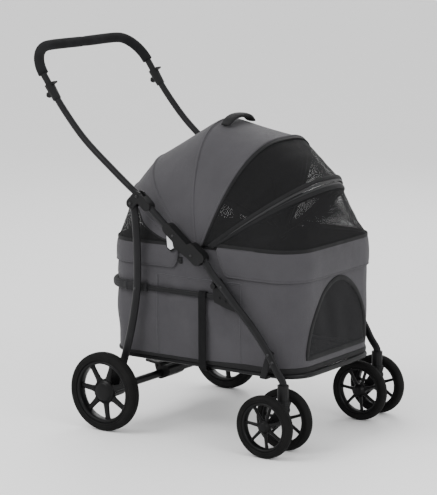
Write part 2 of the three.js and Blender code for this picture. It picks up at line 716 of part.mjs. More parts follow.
const backRails = [rearRim, overBow(bows.rear), overBow(bows.seam), overBow(bows.centre)];
const browRails = [overBow(shifted(bows.centre, -seamGap)), overBow(bows.front)];
const meshRails = [overBow(shifted(bows.front, -seamGap)), overBow(bows.zip)];
addPart(stroller, "canopy_rear", cloth(backRails, 14, 2), greyCloth);
addPart(stroller, "canopy_brow", cloth(browRails, 14, 2), greyCloth);
addPart(stroller, "hood_mesh", cloth(meshRails, 14, 2), blackMesh);
addPart(stroller, "front_mesh", cloth([overBow(bows.lower), frontRim], 14, 3), blackMesh);

// Flat spring bows under the cloth. Each moving bow has an eye on the pivot pin, in a layer of its own.
const bowThickness = 2.6;
const bowWidth = 8;
const bowDrop = 12; // from the cloth's outer face down to the middle of a bow
const layerPitch = 3.6;
const eyeRadius = 10;
const pinRadius = 4;
const layerY = (layer) => basketHalfWidth - basketWall - 3 - bowThickness / 2 - layer * layerPitch;
const hubPlace = [0, hoodPivotHeight];

function bowArch(bow, layer) {
  const inset = hoodHalfWidth - layerY(layer);
  const steps = 18;
  const points = [];
  for (let k = 0; k <= steps; k += 1) {
    const lowered = [bow[0], bow[1] + inset - bowDrop, bow[2]];
    points.push(archPoint(lowered, k / steps, hoodHalfWidth, inset));
  }
  const curve = new THREE.CatmullRomCurve3(points, false, "centripetal");
  return strip(curve, bowThickness / 2, bowWidth / 2, 18);
}
function hubDisc(radius, layer, sign) {
  const y = sign * layerY(layer);
  return crossPin(hubPlace, radius, y - bowThickness / 2, y + bowThickness / 2, 16);
}
function movingBow(bow, layer) {
  const discs = [1, -1].map((sign) => hubDisc(eyeRadius, layer, sign));
  const eye = crossPin(hubPlace, pinRadius + rivetClearance, -basketHalfWidth, basketHalfWidth);
  return shaped([bowArch(bow, layer), ...discs], [eye]);
}
function fixedBows() {
  const arches = [bows.rear, bows.seam, bows.centre].map((bow) => bowArch(bow, 0));
  const pins = [1, -1].map((sign) => {
    const ends = [layerY(0), layerY(3) - 4].map((y) => sign * y).sort((a, b) => a - b);
    return crossPin(hubPlace, pinRadius, ends[0], ends[1]);
  });
  return shaped([...arches, hubDisc(16, 0, 1), hubDisc(16, 0, -1), ...pins]);
}
addPart(stroller, "hood_frame", fixedBows(), blackPlastic);
addPart(stroller, "front_bow", movingBow(shifted(bows.front, 1.2), 1), blackPlastic);
addPart(stroller, "zip_bow", movingBow(shifted(bows.zip, 1.2), 2), blackPlastic);
addPart(stroller, "lower_bow", movingBow(shifted(bows.lower, -1.2), 3), blackPlastic);

// A padded carry strap that stands over the hood's top on its two ends.
function carryHandle() {
  const crown = hoodPivotHeight + bows.centre[1] - 3.5;
  const half = 64;
  const width = 28;
  const t = 4;
  const arc = (lift, reach) => {
    const points = [];
    for (let k = 0; k <= 8; k += 1) {
      const y = -reach + (2 * reach * k) / 8;
      points.push(new THREE.Vector2(y, crown + lift - 26 * (y / half) ** 4));
    }
    return points;
  };
  const shape = new THREE.Shape(arc(14, half).concat(arc(14 - t, half - t).reverse()));
  const geometry = new THREE.ExtrudeGeometry(shape, { depth: width, bevelEnabled: false });
  return geometry.rotateX(Math.PI / 2).rotateZ(Math.PI / 2).translate(-8 - width / 2, 0, 0);
}
addPart(stroller, "carry_handle", carryHandle(), blackWebbing);

// ---------------------------------------------------------------- origin
// The origin is under the middle of the whole stroller, on the floor.
const extent = new THREE.Box3().setFromObject(stroller);
stroller.position.set(-(extent.min.x + extent.max.x) / 2, 0, -extent.min.z);

export default stroller;
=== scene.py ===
import bmesh
import bpy
import numpy as np
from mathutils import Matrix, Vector


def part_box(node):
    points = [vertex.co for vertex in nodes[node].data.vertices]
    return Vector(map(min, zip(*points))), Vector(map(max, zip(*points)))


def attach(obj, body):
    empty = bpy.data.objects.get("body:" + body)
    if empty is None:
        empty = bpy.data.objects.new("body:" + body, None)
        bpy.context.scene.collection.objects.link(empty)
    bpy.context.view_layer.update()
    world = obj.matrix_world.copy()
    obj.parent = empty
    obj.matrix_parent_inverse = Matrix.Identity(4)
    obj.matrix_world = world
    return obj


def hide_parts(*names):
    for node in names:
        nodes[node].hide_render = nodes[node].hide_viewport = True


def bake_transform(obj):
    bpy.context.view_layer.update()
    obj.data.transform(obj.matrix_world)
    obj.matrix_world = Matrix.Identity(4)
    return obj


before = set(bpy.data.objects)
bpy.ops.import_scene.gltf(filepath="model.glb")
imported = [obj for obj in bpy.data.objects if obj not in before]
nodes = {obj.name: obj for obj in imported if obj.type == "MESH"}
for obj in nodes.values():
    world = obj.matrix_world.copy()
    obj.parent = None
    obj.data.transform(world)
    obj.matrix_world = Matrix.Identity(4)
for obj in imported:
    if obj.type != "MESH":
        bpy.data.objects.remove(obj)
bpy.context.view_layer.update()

# -------- camera, light and floor
# A long lens ahead of the stroller's right side, a little above the hood. Three large soft boxes
# and a white surround light it, and it stands on a pale floor.
rear_axle_x = -0.233  # the rear axle's place, from the hood's pivot line
wheel_low, wheel_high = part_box("rear_tyre_left")
hub_x = (wheel_low.x + wheel_high.x) / 2 - rear_axle_x
camera_distance = 5.716
aim = Vector((hub_x - 0.073, 0, 0.442))
eye = aim + camera_distance * Vector((0.5535, -0.8139, 0.1767))
camera = bpy.data.objects.new("camera", bpy.data.cameras.new("camera"))
bpy.context.scene.collection.objects.link(camera)
camera.location = eye
camera.rotation_euler = (aim - eye).to_track_quat("-Z", "Y").to_euler()
camera.data.lens = 163.7
bpy.context.scene.camera = camera


def soft_box(name, place, size, watts):
    """A round area lamp that faces the middle of the stroller."""
    lamp = bpy.data.lights.new(name, "AREA")
    lamp.shape = "DISK"
    lamp.size = size
    lamp.energy = watts
    holder = bpy.data.objects.new(name, lamp)
    bpy.context.scene.collection.objects.link(holder)
    holder.location = place
    holder.rotation_euler = (Vector((0, 0, 0.4)) - Vector(place)).to_track_quat("-Z", "Y").to_euler()


soft_box("key_light", (-1.2, -2.6, 3.0), 2.2, 95)
soft_box("front_light", (3.2, -0.8, 1.8), 1.8, 45)
soft_box("back_light", (-1.0, 3.0, 2.6), 2.0, 40)
world = bpy.data.worlds.new("studio")
world.use_nodes = True
world.node_tree.nodes["Background"].inputs["Color"].default_value = (1, 1, 1, 1)
world.node_tree.nodes["Background"].inputs["Strength"].default_value = 1.35
bpy.context.scene.world = world


class Finish:
    """A material with short ways to add its texture, bump and colour steps."""

    def __init__(self, name, colour, roughness, metallic=0.0, specular=0.4):
        self.material = bpy.data.materials.new(name)
        self.material.use_nodes = True
        self.tree = self.material.node_tree
        self.shader = self.tree.nodes["Principled BSDF"]
        self.fix("Base Color", (*colour, 1))
        self.fix("Roughness", roughness)
        self.fix("Metallic", metallic)
        self.fix("Specular IOR Level", specular)

    def fix(self, socket, value):
        self.shader.inputs[socket].default_value = value

    def node(self, kind, wires=None, **settings):
        made = self.tree.nodes.new(kind)
        for key, value in settings.items():
            setattr(made, key, value)
        for socket, value in (wires or {}).items():
            if isinstance(value, bpy.types.NodeSocket):
                self.tree.links.new(value, made.inputs[socket])
            else:
                made.inputs[socket].default_value = value
        return made

    def where(self, source="Object"):
        return self.node("ShaderNodeTexCoord").outputs[source]

    def noise(self, scale, detail):
        wires = {"Vector": self.where(), "Scale": scale, "Detail": detail, "Roughness": 0.55}
        return self.node("ShaderNodeTexNoise", wires).outputs["Fac"]

    def math(self, operation, a, b=0.0):
        return self.node("ShaderNodeMath", {0: a, 1: b}, operation=operation).outputs[0]

    def ramp(self, factor, stops):
        """Each of the two stops is a place from 0 to 1, and a colour or one number for grey."""
        ramp = self.node("ShaderNodeValToRGB", {"Fac": factor})
        for element, (place, colour) in zip(ramp.color_ramp.elements, stops):
            element.position = place
            element.color = (*colour, 1) if isinstance(colour, tuple) else (colour,) * 3 + (1,)
        return ramp.outputs["Color"]

    def drive(self, socket, output):
        self.tree.links.new(output, self.shader.inputs[socket])

    def bump(self, height, strength, distance):
        wires = {"Height": height, "Strength": strength, "Distance": distance}
        earlier = self.shader.inputs["Normal"].links
        if earlier:
            wires["Normal"] = earlier[0].from_socket
        self.drive("Normal", self.node("ShaderNodeBump", wires).outputs["Normal"])

    def grain(self, strength, distance, scale, detail=4.0):
        """Adds noise to the bump."""
        self.bump(self.noise(scale, detail), strength, distance)

    def pores(self, strength, distance, scale):
        """Adds small round cells to the bump."""
        cells = self.node("ShaderNodeTexVoronoi", {"Vector": self.where(), "Scale": scale})
        self.bump(cells.outputs["Distance"], strength, distance)

    def vary(self, socket, low, high, scale, detail=4.0):
        """Lets noise move a socket between two stops."""
        self.drive(socket, self.ramp(self.noise(scale, detail), (low, high)))

    def distances(self):
        """The two distances in metres that the UV holds."""
        return self.node("ShaderNodeSeparateXYZ", {0: self.where("UV")}).outputs

    def waves(self, distance, per_metre):
        """A sine wave along a distance."""
        return self.math("SINE", self.math("MULTIPLY", distance, per_metre * 2 * np.pi))


floor_finish = Finish("pale_floor", (0.86, 0.86, 0.86), 0.6)
floor_finish.vary("Roughness", (0, 0.55), (1, 0.7), 9.0)
floor_mesh = bpy.data.meshes.new("floor")
far = 14.0
floor_mesh.from_pydata([(-far, -far, 0), (far, -far, 0), (far, far, 0), (-far, far, 0)], [], [(0, 1, 2, 3)])
floor = bpy.data.objects.new("floor", floor_mesh)
floor.data.materials.append(floor_finish.material)
bpy.context.scene.collection.objects.link(floor)

# -------- handle tubes
# Steel tubes, bent in the side view and coated with a fine satin black powder. Their lower ends
# are pressed flat where a rivet goes through, and their upper ends stand in the collars.
coat = Finish("black_powder_coat", (0.007, 0.007, 0.0075), 0.36, specular=0.13)
coat.grain(0.25, 0.0002, 900.0, 3.0)
coat.vary("Roughness", (0.3, 0.3), (0.7, 0.44), 30.0, 6.0)
coat.vary("Base Color", (0.35, (0.0055, 0.0055, 0.006)), (0.7, (0.009, 0.009, 0.0098)), 14.0, 5.0)


def built(name, points, faces, corner_uv, finish, smooth=True):
    """A mesh object from arrays: points, faces as rows of point numbers, and one UV per face corner."""
    mesh = bpy.data.meshes.new(name)
    mesh.from_pydata(points.reshape(-1, 3), [], faces)
    layer = mesh.uv_layers.new(name="UVMap")
    layer.data.foreach_set("uv", np.ascontiguousarray(corner_uv, dtype=np.float32).ravel())
    if smooth:
        mesh.shade_smooth()
    mesh.materials.append(finish.material)
    piece = bpy.data.objects.new(name, mesh)
    bpy.context.scene.collection.objects.link(piece)
    return piece


def fitted(piece, body, slot, *replaced):
    """Says what body a piece rides on and which CAD solids it replaces; its slot is not used."""
    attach(piece, body)
    if replaced:
        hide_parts(*replaced)


def grid_quads(rows, cols, down, across, flip=False):
    """Quads between neighbours of a grid of points, `down` rows of `across` quads, past the last row or
    column back to the first. Also gives each corner's row and column, before they wrap round."""
    r, c = np.meshgrid(np.arange(down), np.arange(across), indexing="ij")
    corners = [(r, c), (r, c + 1), (r + 1, c + 1), (r + 1, c)]
    if flip:
        corners = [corners[k] for k in (0, 3, 2, 1)]
    quads = np.stack([y % rows * cols + x % cols for y, x in corners], -1).reshape(-1, 4)
    return quads, corners


def distance_along(line):
    """The distance along a line to each of its points."""
    return np.concatenate([[0], np.cumsum(np.linalg.norm(np.diff(line, axis=0), axis=1))])


def evenly(line, count):
    """The same line with this many points, evenly spaced along its length."""
    run = distance_along(line)
    even = np.linspace(0, run[-1], count)
    return np.stack([np.interp(even, run, line[:, axis]) for axis in range(3)], 1)


def signed_power(value, power):
    """|value|^(2 / power) with the value's sign, which turns a circle's point into an oval's."""
    return np.sign(value) * np.abs(value) ** (2 / power)


def line_through(points, count):
    """A smooth line: each span is a cubic whose end slopes come from the points on both sides, the
    spans being timed by the square root of their length, then spaced evenly along its length."""
    p = np.asarray(points, float)
    p = np.vstack([2 * p[0] - p[1], p, 2 * p[-1] - p[-2]])
    step = np.sqrt(np.linalg.norm(np.diff(p, axis=0), axis=1)) + 1e-9
    span = np.linspace(0, len(p) - 3 - 1e-9, 24 * (len(p) - 3))
    k = span.astype(int)
    u = (span - k)[:, None]
    p0, p1, p2, p3 = p[k], p[k + 1], p[k + 2], p[k + 3]
    d0, d1, d2 = step[k][:, None], step[k + 1][:, None], step[k + 2][:, None]
    m1 = ((p1 - p0) / d0 - (p2 - p0) / (d0 + d1) + (p2 - p1) / d1) * d1
    m2 = ((p2 - p1) / d1 - (p3 - p1) / (d1 + d2) + (p3 - p2) / d2) * d1
    fine = (2 * u**3 - 3 * u**2 + 1) * p1 + (u**3 - 2 * u**2 + u) * m1
    fine += (3 * u**2 - 2 * u**3) * p2 + (u**3 - u**2) * m2
    return evenly(fine, count)


def swept(name, path, across, in_plane, finish, side=(0, 1, 0), sides=20, closed=False, power=2.0):
    """A tube along a path. At each point of the path an oval |a|^power + |b|^power = 1 stands square
    to it, `across` wide along `side` and `in_plane` the other way. Each end is a fan, or the tube
    closes. The path never runs along `side`."""
    t = np.roll(path, -1, 0) - np.roll(path, 1, 0) if closed else np.gradient(path, axis=0)
    t /= np.linalg.norm(t, axis=1)[:, None]
    n = np.asarray(side, float) * np.ones_like(path)
    n -= (n * t).sum(1)[:, None] * t
    n /= np.linalg.norm(n, axis=1)[:, None]
    b = np.cross(t, n)
    turn = np.arange(sides) * 2 * np.pi / sides
    ca, sa = signed_power(np.cos(turn), power), signed_power(np.sin(turn), power)
    wide = np.ones(len(path)) * across
    deep = np.ones(len(path)) * in_plane
    ring = path[:, None] + n[:, None] * (wide[:, None] * ca)[..., None]
    points = (ring + b[:, None] * (deep[:, None] * sa)[..., None]).reshape(-1, 3)
    quads, corners = grid_quads(len(path), sides, len(path) if closed else len(path) - 1, sides)
    run = distance_along(np.vstack([path, path[:1]]))
    around = 2 * np.pi * (np.mean(wide) + np.mean(deep)) / 2 / sides
    uv = np.stack([np.stack([c * around, run[r]], -1) for r, c in corners], 2).reshape(-1, 2)
    faces = quads.tolist()
    if not closed:
        last = (len(path) - 1) * sides
        ids, nxt = np.arange(sides), (np.arange(sides) + 1) % sides
        faces += np.stack([nxt, ids, np.full(sides, len(points))], 1).tolist()
        faces += np.stack([last + ids, last + nxt, np.full(sides, len(points) + 1)], 1).tolist()
        points = np.vstack([points, path[:1], path[-1:]])
        uv = np.vstack([uv, np.zeros((6 * sides, 2))])
    return built(name, points, faces, uv, finish)


def placed(pairs, y):
    """Side-view pairs in millimetres, measured from the hood's pivot line, as points of the row frame."""
    pairs = np.asarray(pairs, float) / 1000
    return np.stack([pairs[:, 0] + hub_x, np.full(len(pairs), y), pairs[:, 1]], 1)


# Half widths and radii are in metres, and side-view places in millimetres.
frame_half_width = 0.223
tube_radius = 0.0085
handle_pivot = [-158, 596]
grip_start = [-453, 879]
both_sides = (("left", 1), ("right", -1))
ahead, up = (1, 0, 0), (0, 0, 1)


def pressed_flat(path, length, thin, full):
    """Half thickness along a tube: `thin` at its start, easing out to `full` over `length`."""
    u = np.clip((distance_along(path) - 0.6 * length) / (0.4 * length), 0, 1)
    return thin + (full - thin) * u * u * (3 - 2 * u)


for side, sign in both_sides:
    route = [[-152, 591], handle_pivot, [-175, 608], [-241, 657], [-327, 726], [-389, 793], [-433, 850]]
    path = line_through(placed(route, sign * frame_half_width), 90)
    thick = pressed_flat(path, 0.042, 0.0055, tube_radius)
    piece = swept("lower_handle_" + side, path, thick, tube_radius, coat)
    fitted(piece, "handle", "paint", "handle_tube_" + side)

# -------- upper handle and foam grip
# One U of the same tube plugs into both collars. A sleeve of fine-pored black foam covers its
# cross bar and both corners.
handle_top = [-499, 945]


def upper_handle(start, count):
    """The U's centre line: up one arm, round two quarter-circle corners in the arms' plane, and down."""
    radius = 80
    top, low = np.array(handle_top, float), np.array(start, float)
    length = np.linalg.norm(low - top)
    down = (low - top) / length
    turn = np.linspace(0, np.pi / 2, 7)
    out = np.concatenate([[length, (length + radius) / 2], radius * (1 - np.sin(turn))])
    y = np.concatenate([[0, 0], radius * (1 - np.cos(turn))])
    half = np.stack([top[0] + down[0] * out, 1000 * frame_half_width - y, top[1] + down[1] * out], 1)
    whole = np.vstack([half, [[top[0], 0, top[1]]], (half * [1, -1, 1])[::-1]]) / 1000
    return line_through(whole + [hub_x, 0, 0], count)


arm = np.array(handle_top, float) - np.array(grip_start, float)
square_to_arms = (arm[1], 0, -arm[0])
bar_path = upper_handle([-430, 846.5], 150)
bar = swept("upper_handle", bar_path, tube_radius, tube_radius, coat, square_to_arms)
fitted(bar, "handle", "paint", "handle_bar")

foam = Finish("grip_foam", (0.008, 0.008, 0.0085), 0.92, specular=0.12)
foam.pores(0.5, 0.0006, 700.0)
foam.grain(0.35, 0.002, 60.0, 5.0)
foam.vary("Base Color", (0.3, (0.006, 0.006, 0.0065)), (0.75, (0.012, 0.012, 0.013)), 25.0, 6.0)
grip_radius = 0.01325
grip_path = upper_handle(grip_start, 170)
run = np.linspace(0, 1, len(grip_path))
rounded = np.sqrt(np.clip(1 - np.clip(1 - np.minimum(run, 1 - run) * 260, 0, 1) ** 2, 0.25, 1))
pinch = 1 - 0.05 * np.exp(-(((run - 0.5) * 60) ** 2))
fat = grip_radius * rounded * pinch
grip = swept("foam_sleeve", grip_path, fat, fat, foam, square_to_arms, sides=28)
fitted(grip, "handle", "grip", "foam_grip")

# -------- side tubes, legs and bars
# The same coated steel: round side tubes, oval legs, a flat bar that runs round the basket and a
# round bar under it. The rear legs turn at the hinge brackets and carry the axle.
leg_route = [[2, 481], [30, 460], [58, 425], [89, 394], [125, 356],
             [175, 306], [225, 243], [248, 204], [266, 178], [266, 152]]
rear_leg_route = [[-179, 585], [-177, 577], [-171, 545], [-167, 493], [-165, 430],
                  [-166, 372], [-176, 300], [-199, 205], [-222, 135]]
side_tube_route = [[-141, 582], [-24, 484]]
side_tubes = [
    ("upper_side_tube_", side_tube_route, 8, tube_radius, tube_radius, "side_tube_", "frame"),
    ("oval_front_leg_", leg_route, 80, 0.006, 0.010, "front_leg_", "frame"),
    ("oval_rear_leg_", rear_leg_route, 80, 0.006, 0.011, "rear_leg_", "rear_frame"),
]
for side, sign in both_sides:
    for name, route, count, across, deep, node, body in side_tubes:
        path = line_through(placed(route, sign * frame_half_width), count)
        fitted(swept(name + side, path, across, deep, coat), body, "paint", node + side)


def level_u(start_x, cross_x, half_width, radius, z, count):
    """A level U: an arm, a quarter circle, a cross bar, a quarter circle and an arm."""
    toward = np.sign(cross_x - start_x)
    turn = np.linspace(0, np.pi / 2, 7)
    x = np.concatenate([[start_x, (start_x + cross_x) / 2], cross_x - toward * radius * (1 - np.sin(turn))])
    y = np.concatenate([[half_width, half_width], half_width - radius * (1 - np.cos(turn))])
    half = np.stack([x, y, np.full(len(x), z)], 1)
    return line_through(np.vstack([half, (half * [1, -1, 1])[::-1]]) / 1000 + [hub_x, 0, 0], count)


side_bar = {"cross_x": -290, "half_width": 202, "radius": 88, "z": 363}
ring_path = level_u(92, count=120, **side_bar)
ring = swept("basket_side_bar", ring_path, 0.006, 0.003, coat, up, power=3.5)
fitted(ring, "frame", "paint", "basket_ring")

# -------- bar and plates under the basket
# A round bar carries the basket's floor. A flat plate on each side ties it to the front leg with
# two rivets, and the basket's side bar is riveted to a moulded bracket on the same leg.
base_path = level_u(-225, cross_x=282, half_width=182, radius=70, z=182.7, count=120)
under = swept("under_bar", base_path, 0.007, 0.007, coat, side=up)
fitted(under, "frame", "paint", "base_frame")
plate_route = [[203, 182], [206, 192], [213, 218], [220, 236], [227, 250]]
for side, sign in both_sides:
    path = line_through(placed(plate_route, sign * 0.2138), 16)
    tie = swept("leg_plate_" + side, path, 0.0022, 0.0085, coat, sides=24, power=5)
    lug = np.array([[203, sign * 184, 182.7], [203, sign * 213, 182.7]]) / 1000 + [hub_x, 0, 0]
    foot_path = line_through(lug, 3)
    foot = swept("leg_plate_foot_" + side, foot_path, 0.011, 0.004, coat, ahead, sides=24, power=5)
    for piece in (tie, foot):
        fitted(piece, "frame", "paint")

# -------- moulded parts
# Glass-filled nylon with a fine spark-eroded grain: hinge brackets, sleeves, collars, axle blocks,
# the brake and the caster housings and forks. They keep their own solids and are pinned or pressed on.
nylon = Finish("black_moulding", (0.006, 0.006, 0.0063), 0.46, specular=0.14)
nylon.grain(0.35, 0.00025, 1400.0, 2.0)
nylon.grain(0.12, 0.0008, 70.0, 3.0)
nylon.vary("Roughness", (0.3, 0.4), (0.75, 0.55), 45.0, 5.0)
nylon.vary("Base Color", (0.3, (0.0045, 0.0045, 0.0048)), (0.8, (0.008, 0.008, 0.0084)), 20.0, 4.0)


def refinish(name, finish):
    """Gives a CAD solid its finish."""
    solid = nodes[name]
    solid.data.materials.clear()
    solid.data.materials.append(finish.material)


moulded = ("hinge_bracket", "lock_sleeve", "handle_collar", "snap_button", "leg_bracket", "axle_block",
           "caster_housing", "caster_fork")
single = ("brake_housing", "brake_pedal", "hood_frame", "front_bow", "zip_bow", "lower_bow")
for name in (*single, *(name + "_" + side for name in moulded for side, _ in both_sides)):
    refinish(name, nylon)
for name in ("front_axle_left", "front_axle_right", "rear_axle"):
    refinish(name, coat)


def lathed(name, profile, centre, finish, segments=80):
    """Each (radius, distance along the axle) of a closed outline is carried round the axle in a circle."""
    profile = np.asarray(profile, float) / 1000
    turn = np.arange(segments)[:, None] * 2 * np.pi / segments
    r, h = profile[:, 0][None], profile[:, 1][None]
    grid = np.stack([r * np.cos(turn), h + 0 * turn, r * np.sin(turn)], -1) + np.asarray(centre)
    quads, corners = grid_quads(segments, len(profile), segments, len(profile), flip=True)
    run = distance_along(np.vstack([profile, profile[:1]]))
    arc = 0.09 * 2 * np.pi / segments
    uv = np.stack([np.stack([a * arc, run[b]], -1) for a, b in corners], 2)
    piece = built(name, grid, quads.tolist(), uv.reshape(-1, 2), finish)
    close_poles(piece)
    return piece


def close_poles(piece):
    """Merges points that fall together, as on the axle line, and turns every face outwards."""
    edit = bmesh.new()
    edit.from_mesh(piece.data)
    bmesh.ops.remove_doubles(edit, verts=edit.verts, dist=1e-6)
    bmesh.ops.recalc_face_normals(edit, faces=edit.faces)
    edit.to_mesh(piece.data)
    edit.free()


def joined(name, pieces):
    """One mesh object from several, with their UVs kept."""
    edit = bmesh.new()
    for piece in pieces:
        edit.from_mesh(piece.data)
    edit.to_mesh(pieces[0].data)
    edit.free()
    for piece in pieces[1:]:
        bpy.data.objects.remove(piece)
    pieces[0].name = name
    return pieces[0]


# -------- rivets
# Domed steel rivets, blackened, through the hinge brackets, the legs and the moulded brackets.
rivet_steel = Finish("blackened_rivet", (0.028, 0.028, 0.029), 0.34, metallic=0.8)
rivet_steel.vary("Roughness", (0.3, 0.22), (0.8, 0.42), 400.0)
dome = [(0, 1.9), (1.2, 1.75), (2.4, 1.3), (3.4, 0.5), (3.7, -0.2), (3.6, -1.5), (0, -1.5)]
rivet_places = {
    "frame": [([-158, 596], 0.2363), ([-177, 577], 0.2363), ([225, 243], 0.2294), ([238, 226], 0.2294),
              ([-50, 508], 0.2354), ([4, 464], 0.2354), ([89, 394], 0.2294)],
    "rear_frame": [([-168, 363], 0.2294)],
}
for side, sign in both_sides:
    outline = [(r, sign * h) for r, h in dome]
    for body, places in rivet_places.items():
        centres = [placed([place], sign * y)[0] for place, y in places]
        heads = [lathed("head", outline, centre, rivet_steel, 20) for centre in centres]
        fitted(joined("rivets_" + body + "_" + side, heads), body, "paint")

# -------- wheels
# Foam-filled tyres with a shallow tread groove each side of a smooth centre, on one-piece moulded
# rims: a rounded band, seven spokes that widen into it, and a hub with a round cap over the axle end.
tyre_foam = Finish("tyre_foam", (0.006, 0.006, 0.0062), 0.78, specular=0.1)
tyre_foam.grain(0.4, 0.0004, 600.0, 3.0)
tyre_foam.vary("Roughness", (0.3, 0.68), (0.75, 0.88), 40.0, 5.0)
tyre_foam.vary("Base Color", (0.35, (0.0035, 0.0035, 0.0036)), (0.8, (0.0075, 0.0073, 0.0071)), 18.0, 6.0)
rim_nylon = Finish("rim_moulding", (0.004, 0.004, 0.0042), 0.34, specular=0.12)
rim_nylon.grain(0.2, 0.0002, 1100.0, 2.0)
rim_nylon.vary("Roughness", (0.3, 0.28), (0.8, 0.42), 35.0, 5.0)


def tyre_outline(radius, half, rim):
    """Half a tyre's section from the rim over the shoulder to the tread, then the same mirrored."""
    wall = [(0, 0.79), (0.6, 0.86), (3, 0.93), (5, 0.965), (5.8, 0.93), (6.6, 0.975)]
    crown = [(10, 0.99), (6, 0.93), (3.4, 0.82), (1.5, 0.66), (0.8, 0.54)]
    tread = [(0.7, 0.5), (2.1, 0.47), (2.1, 0.41), (0.4, 0.38), (0.05, 0.2)]
    wall, crown = [(rim + r, h) for r, h in wall], [(radius - r, h) for r, h in crown + tread]
    one = [(r, half * h) for r, h in wall + crown]
    return one + [(r, -h) for r, h in reversed(one)]


def spoked_rim(name, centre, outward, band_inner, band_outer, half, hub, cap, spoke, inner_end):
    """A band, a hub and a cap, each a closed outline turned on the axle, and seven spokes. A spoke's
    half width is its middle width, a part that grows with the sixth power towards both ends, and a
    part that shrinks outwards. Sizes are in millimetres, and `outward` is 1 or -1 along the axle."""
    band = [(band_inner, -half), (band_inner + 1.5, -half - 1), (band_outer, -half - 1),
            (band_outer, half + 1), (band_inner + 1.5, half + 1), (band_inner, half),
            (band_inner - 1.6, half * 0.4), (band_inner - 1.6, -half * 0.4)]
    boss = [(0, inner_end), (hub * 0.55, inner_end), (hub * 0.66, inner_end * 0.6), (hub, -5), (hub, 4),
            (hub * 0.9, 7), (cap, 8), (cap * 0.97, 10.5), (cap * 0.8, 12), (cap * 0.4, 12.8), (0, 13)]
    boss = [(r, h * outward) for r, h in boss]
    pieces = [lathed("band", band, centre, rim_nylon), lathed("boss", boss, centre, rim_nylon, 48)]
    u = np.linspace(0, 1, 14)
    spoke_start = hub - 3
    for k in range(7):
        angle = 2 * np.pi * k / 7 + 0.35
        ray = np.array([np.cos(angle), 0, np.sin(angle)])
        path = np.asarray(centre) + ray * (spoke_start + (band_inner + 1 - spoke_start) * u)[:, None] / 1000
        wide = (spoke + 0.75 * spoke * np.abs(2 * u - 1) ** 6 + 0.3 * spoke * (1 - u)) / 1000
        pieces.append(swept("spoke", path, 0.0042, wide, rim_nylon, sides=12, power=2.6))
    return joined(name, pieces)


def wheel(end, place, x, y, outward, tyre, rim):
    """A tyre and its rim, centred on the axle, riding on the wheel's own body."""
    centre = (hub_x + x, y, tyre["radius"] / 1000)
    label, body = end + "_" + place, end + "_wheel_" + place
    tread = lathed("tyre_" + label, tyre_outline(**tyre), centre, tyre_foam, 96)
    fitted(tread, body, "tyre", end + "_tyre_" + place)
    fitted(spoked_rim("spoked_rim_" + label, centre, outward, **rim), body, "wheel", end + "_rim_" + place)


rear_tyre = {"radius": 100, "half": 16.5, "rim": 79.2}
rear_rim = {"band_inner": 72, "band_outer": 78.8, "half": 12.5, "hub": 31, "cap": 25, "spoke": 6.2,
            "inner_end": -16}
front_tyre = {"radius": 77, "half": 13, "rim": 60.2}
front_rim = {"band_inner": 54.5, "band_outer": 59.8, "half": 9.5, "hub": 17, "cap": 13, "spoke": 3.3,
             "inner_end": -13.5}
front_axle_x = 0.242
rear_half_track = 0.271
twin_offset = 0.044  # from a caster's middle to each of its two wheels
for side, sign in both_sides:
    wheel("rear", side, rear_axle_x, sign * rear_half_track, sign, rear_tyre, rear_rim)
    for place, out in (("outer", 1), ("inner", -1)):
        y = sign * (frame_half_width + out * twin_offset)
        wheel("front", side + "_" + place, front_axle_x, y, sign * out, front_tyre, front_rim)

# -------- basket
# A soft basket of dark grey plain-weave cloth on a stiff floor, sewn in panels, with a net window
# across its front and a black bound edge. A bar round its back half carries it.


def woven(name, colour, threads=1100.0, sheen=0.08, rough=0.86):
    """A plain weave: two sets of threads that cross on the cloth's own UV in metres, with slubs, a
    soft mottled tone and slow puckers in the surface."""
    cloth = Finish(name, colour, rough, specular=0.22)
    u, v = cloth.distances()[:2]
    weave = cloth.math("MULTIPLY", cloth.waves(u, threads), cloth.waves(v, threads))
    cloth.bump(weave, 0.35, 0.00025)
    cloth.grain(0.35, 0.004, 26.0, 5.0)
    cloth.grain(0.25, 0.0006, 320.0, 3.0)
    tone = cloth.math("ADD", cloth.noise(9.0, 6.0), cloth.math("MULTIPLY", cloth.noise(420.0, 2.0), 0.35))
    light = tuple(min(1, c * 1.16) for c in colour)
    dark = tuple(c * 0.84 for c in colour)
    cloth.drive("Base Color", cloth.ramp(tone, [(0.35, dark), (0.95, light)]))
    cloth.vary("Roughness", (0.3, rough - 0.05), (0.8, min(1, rough + 0.08)), 30.0)
    cloth.fix("Sheen Weight", sheen)
    cloth.fix("Sheen Roughness", 0.5)
    return cloth


def netting(name, colour, holes, open_share):
    """A knitted net: round holes in rows, each row half a hole along from the last, on the UV."""
    net = Finish(name, colour, 0.8, specular=0.2)
    along, across = net.distances()[:2]
    u = net.math("MULTIPLY", along, holes * np.pi)
    v = net.math("MULTIPLY", across, holes * np.pi * 1.15)
    one = net.math("SINE", net.math("ADD", u, v))
    two = net.math("SINE", net.math("SUBTRACT", u, v))
    cells = net.math("ABSOLUTE", net.math("MULTIPLY", one, two))
    net.bump(cells, 0.4, 0.0004)
    dark, light = (tuple(c * share for c in colour) for share in (0.8, 1.4))
    net.vary("Base Color", (0.3, dark), (0.8, light), 200.0)
    net.drive("Alpha", net.math("LESS_THAN", cells, 1 - open_share))
    return net


canvas = woven("grey_canvas", (0.040, 0.0385, 0.0425))
# This dark cloth covers the bar's sleeve and the floor board. On the inner faces of the basket walls and the
# hood it is painted shade, much darker than the grey canvas those faces are made of.
dark_cloth_and_painted_shade = woven("dark_cloth_with_painted_shade", (0.011, 0.011, 0.012), 900.0, 0.04)
binding = woven("black_binding", (0.005, 0.005, 0.0055), 700.0, 0.03, 0.8)
window_netting = netting("black_net", (0.014, 0.014, 0.015), 420.0, 0.52)


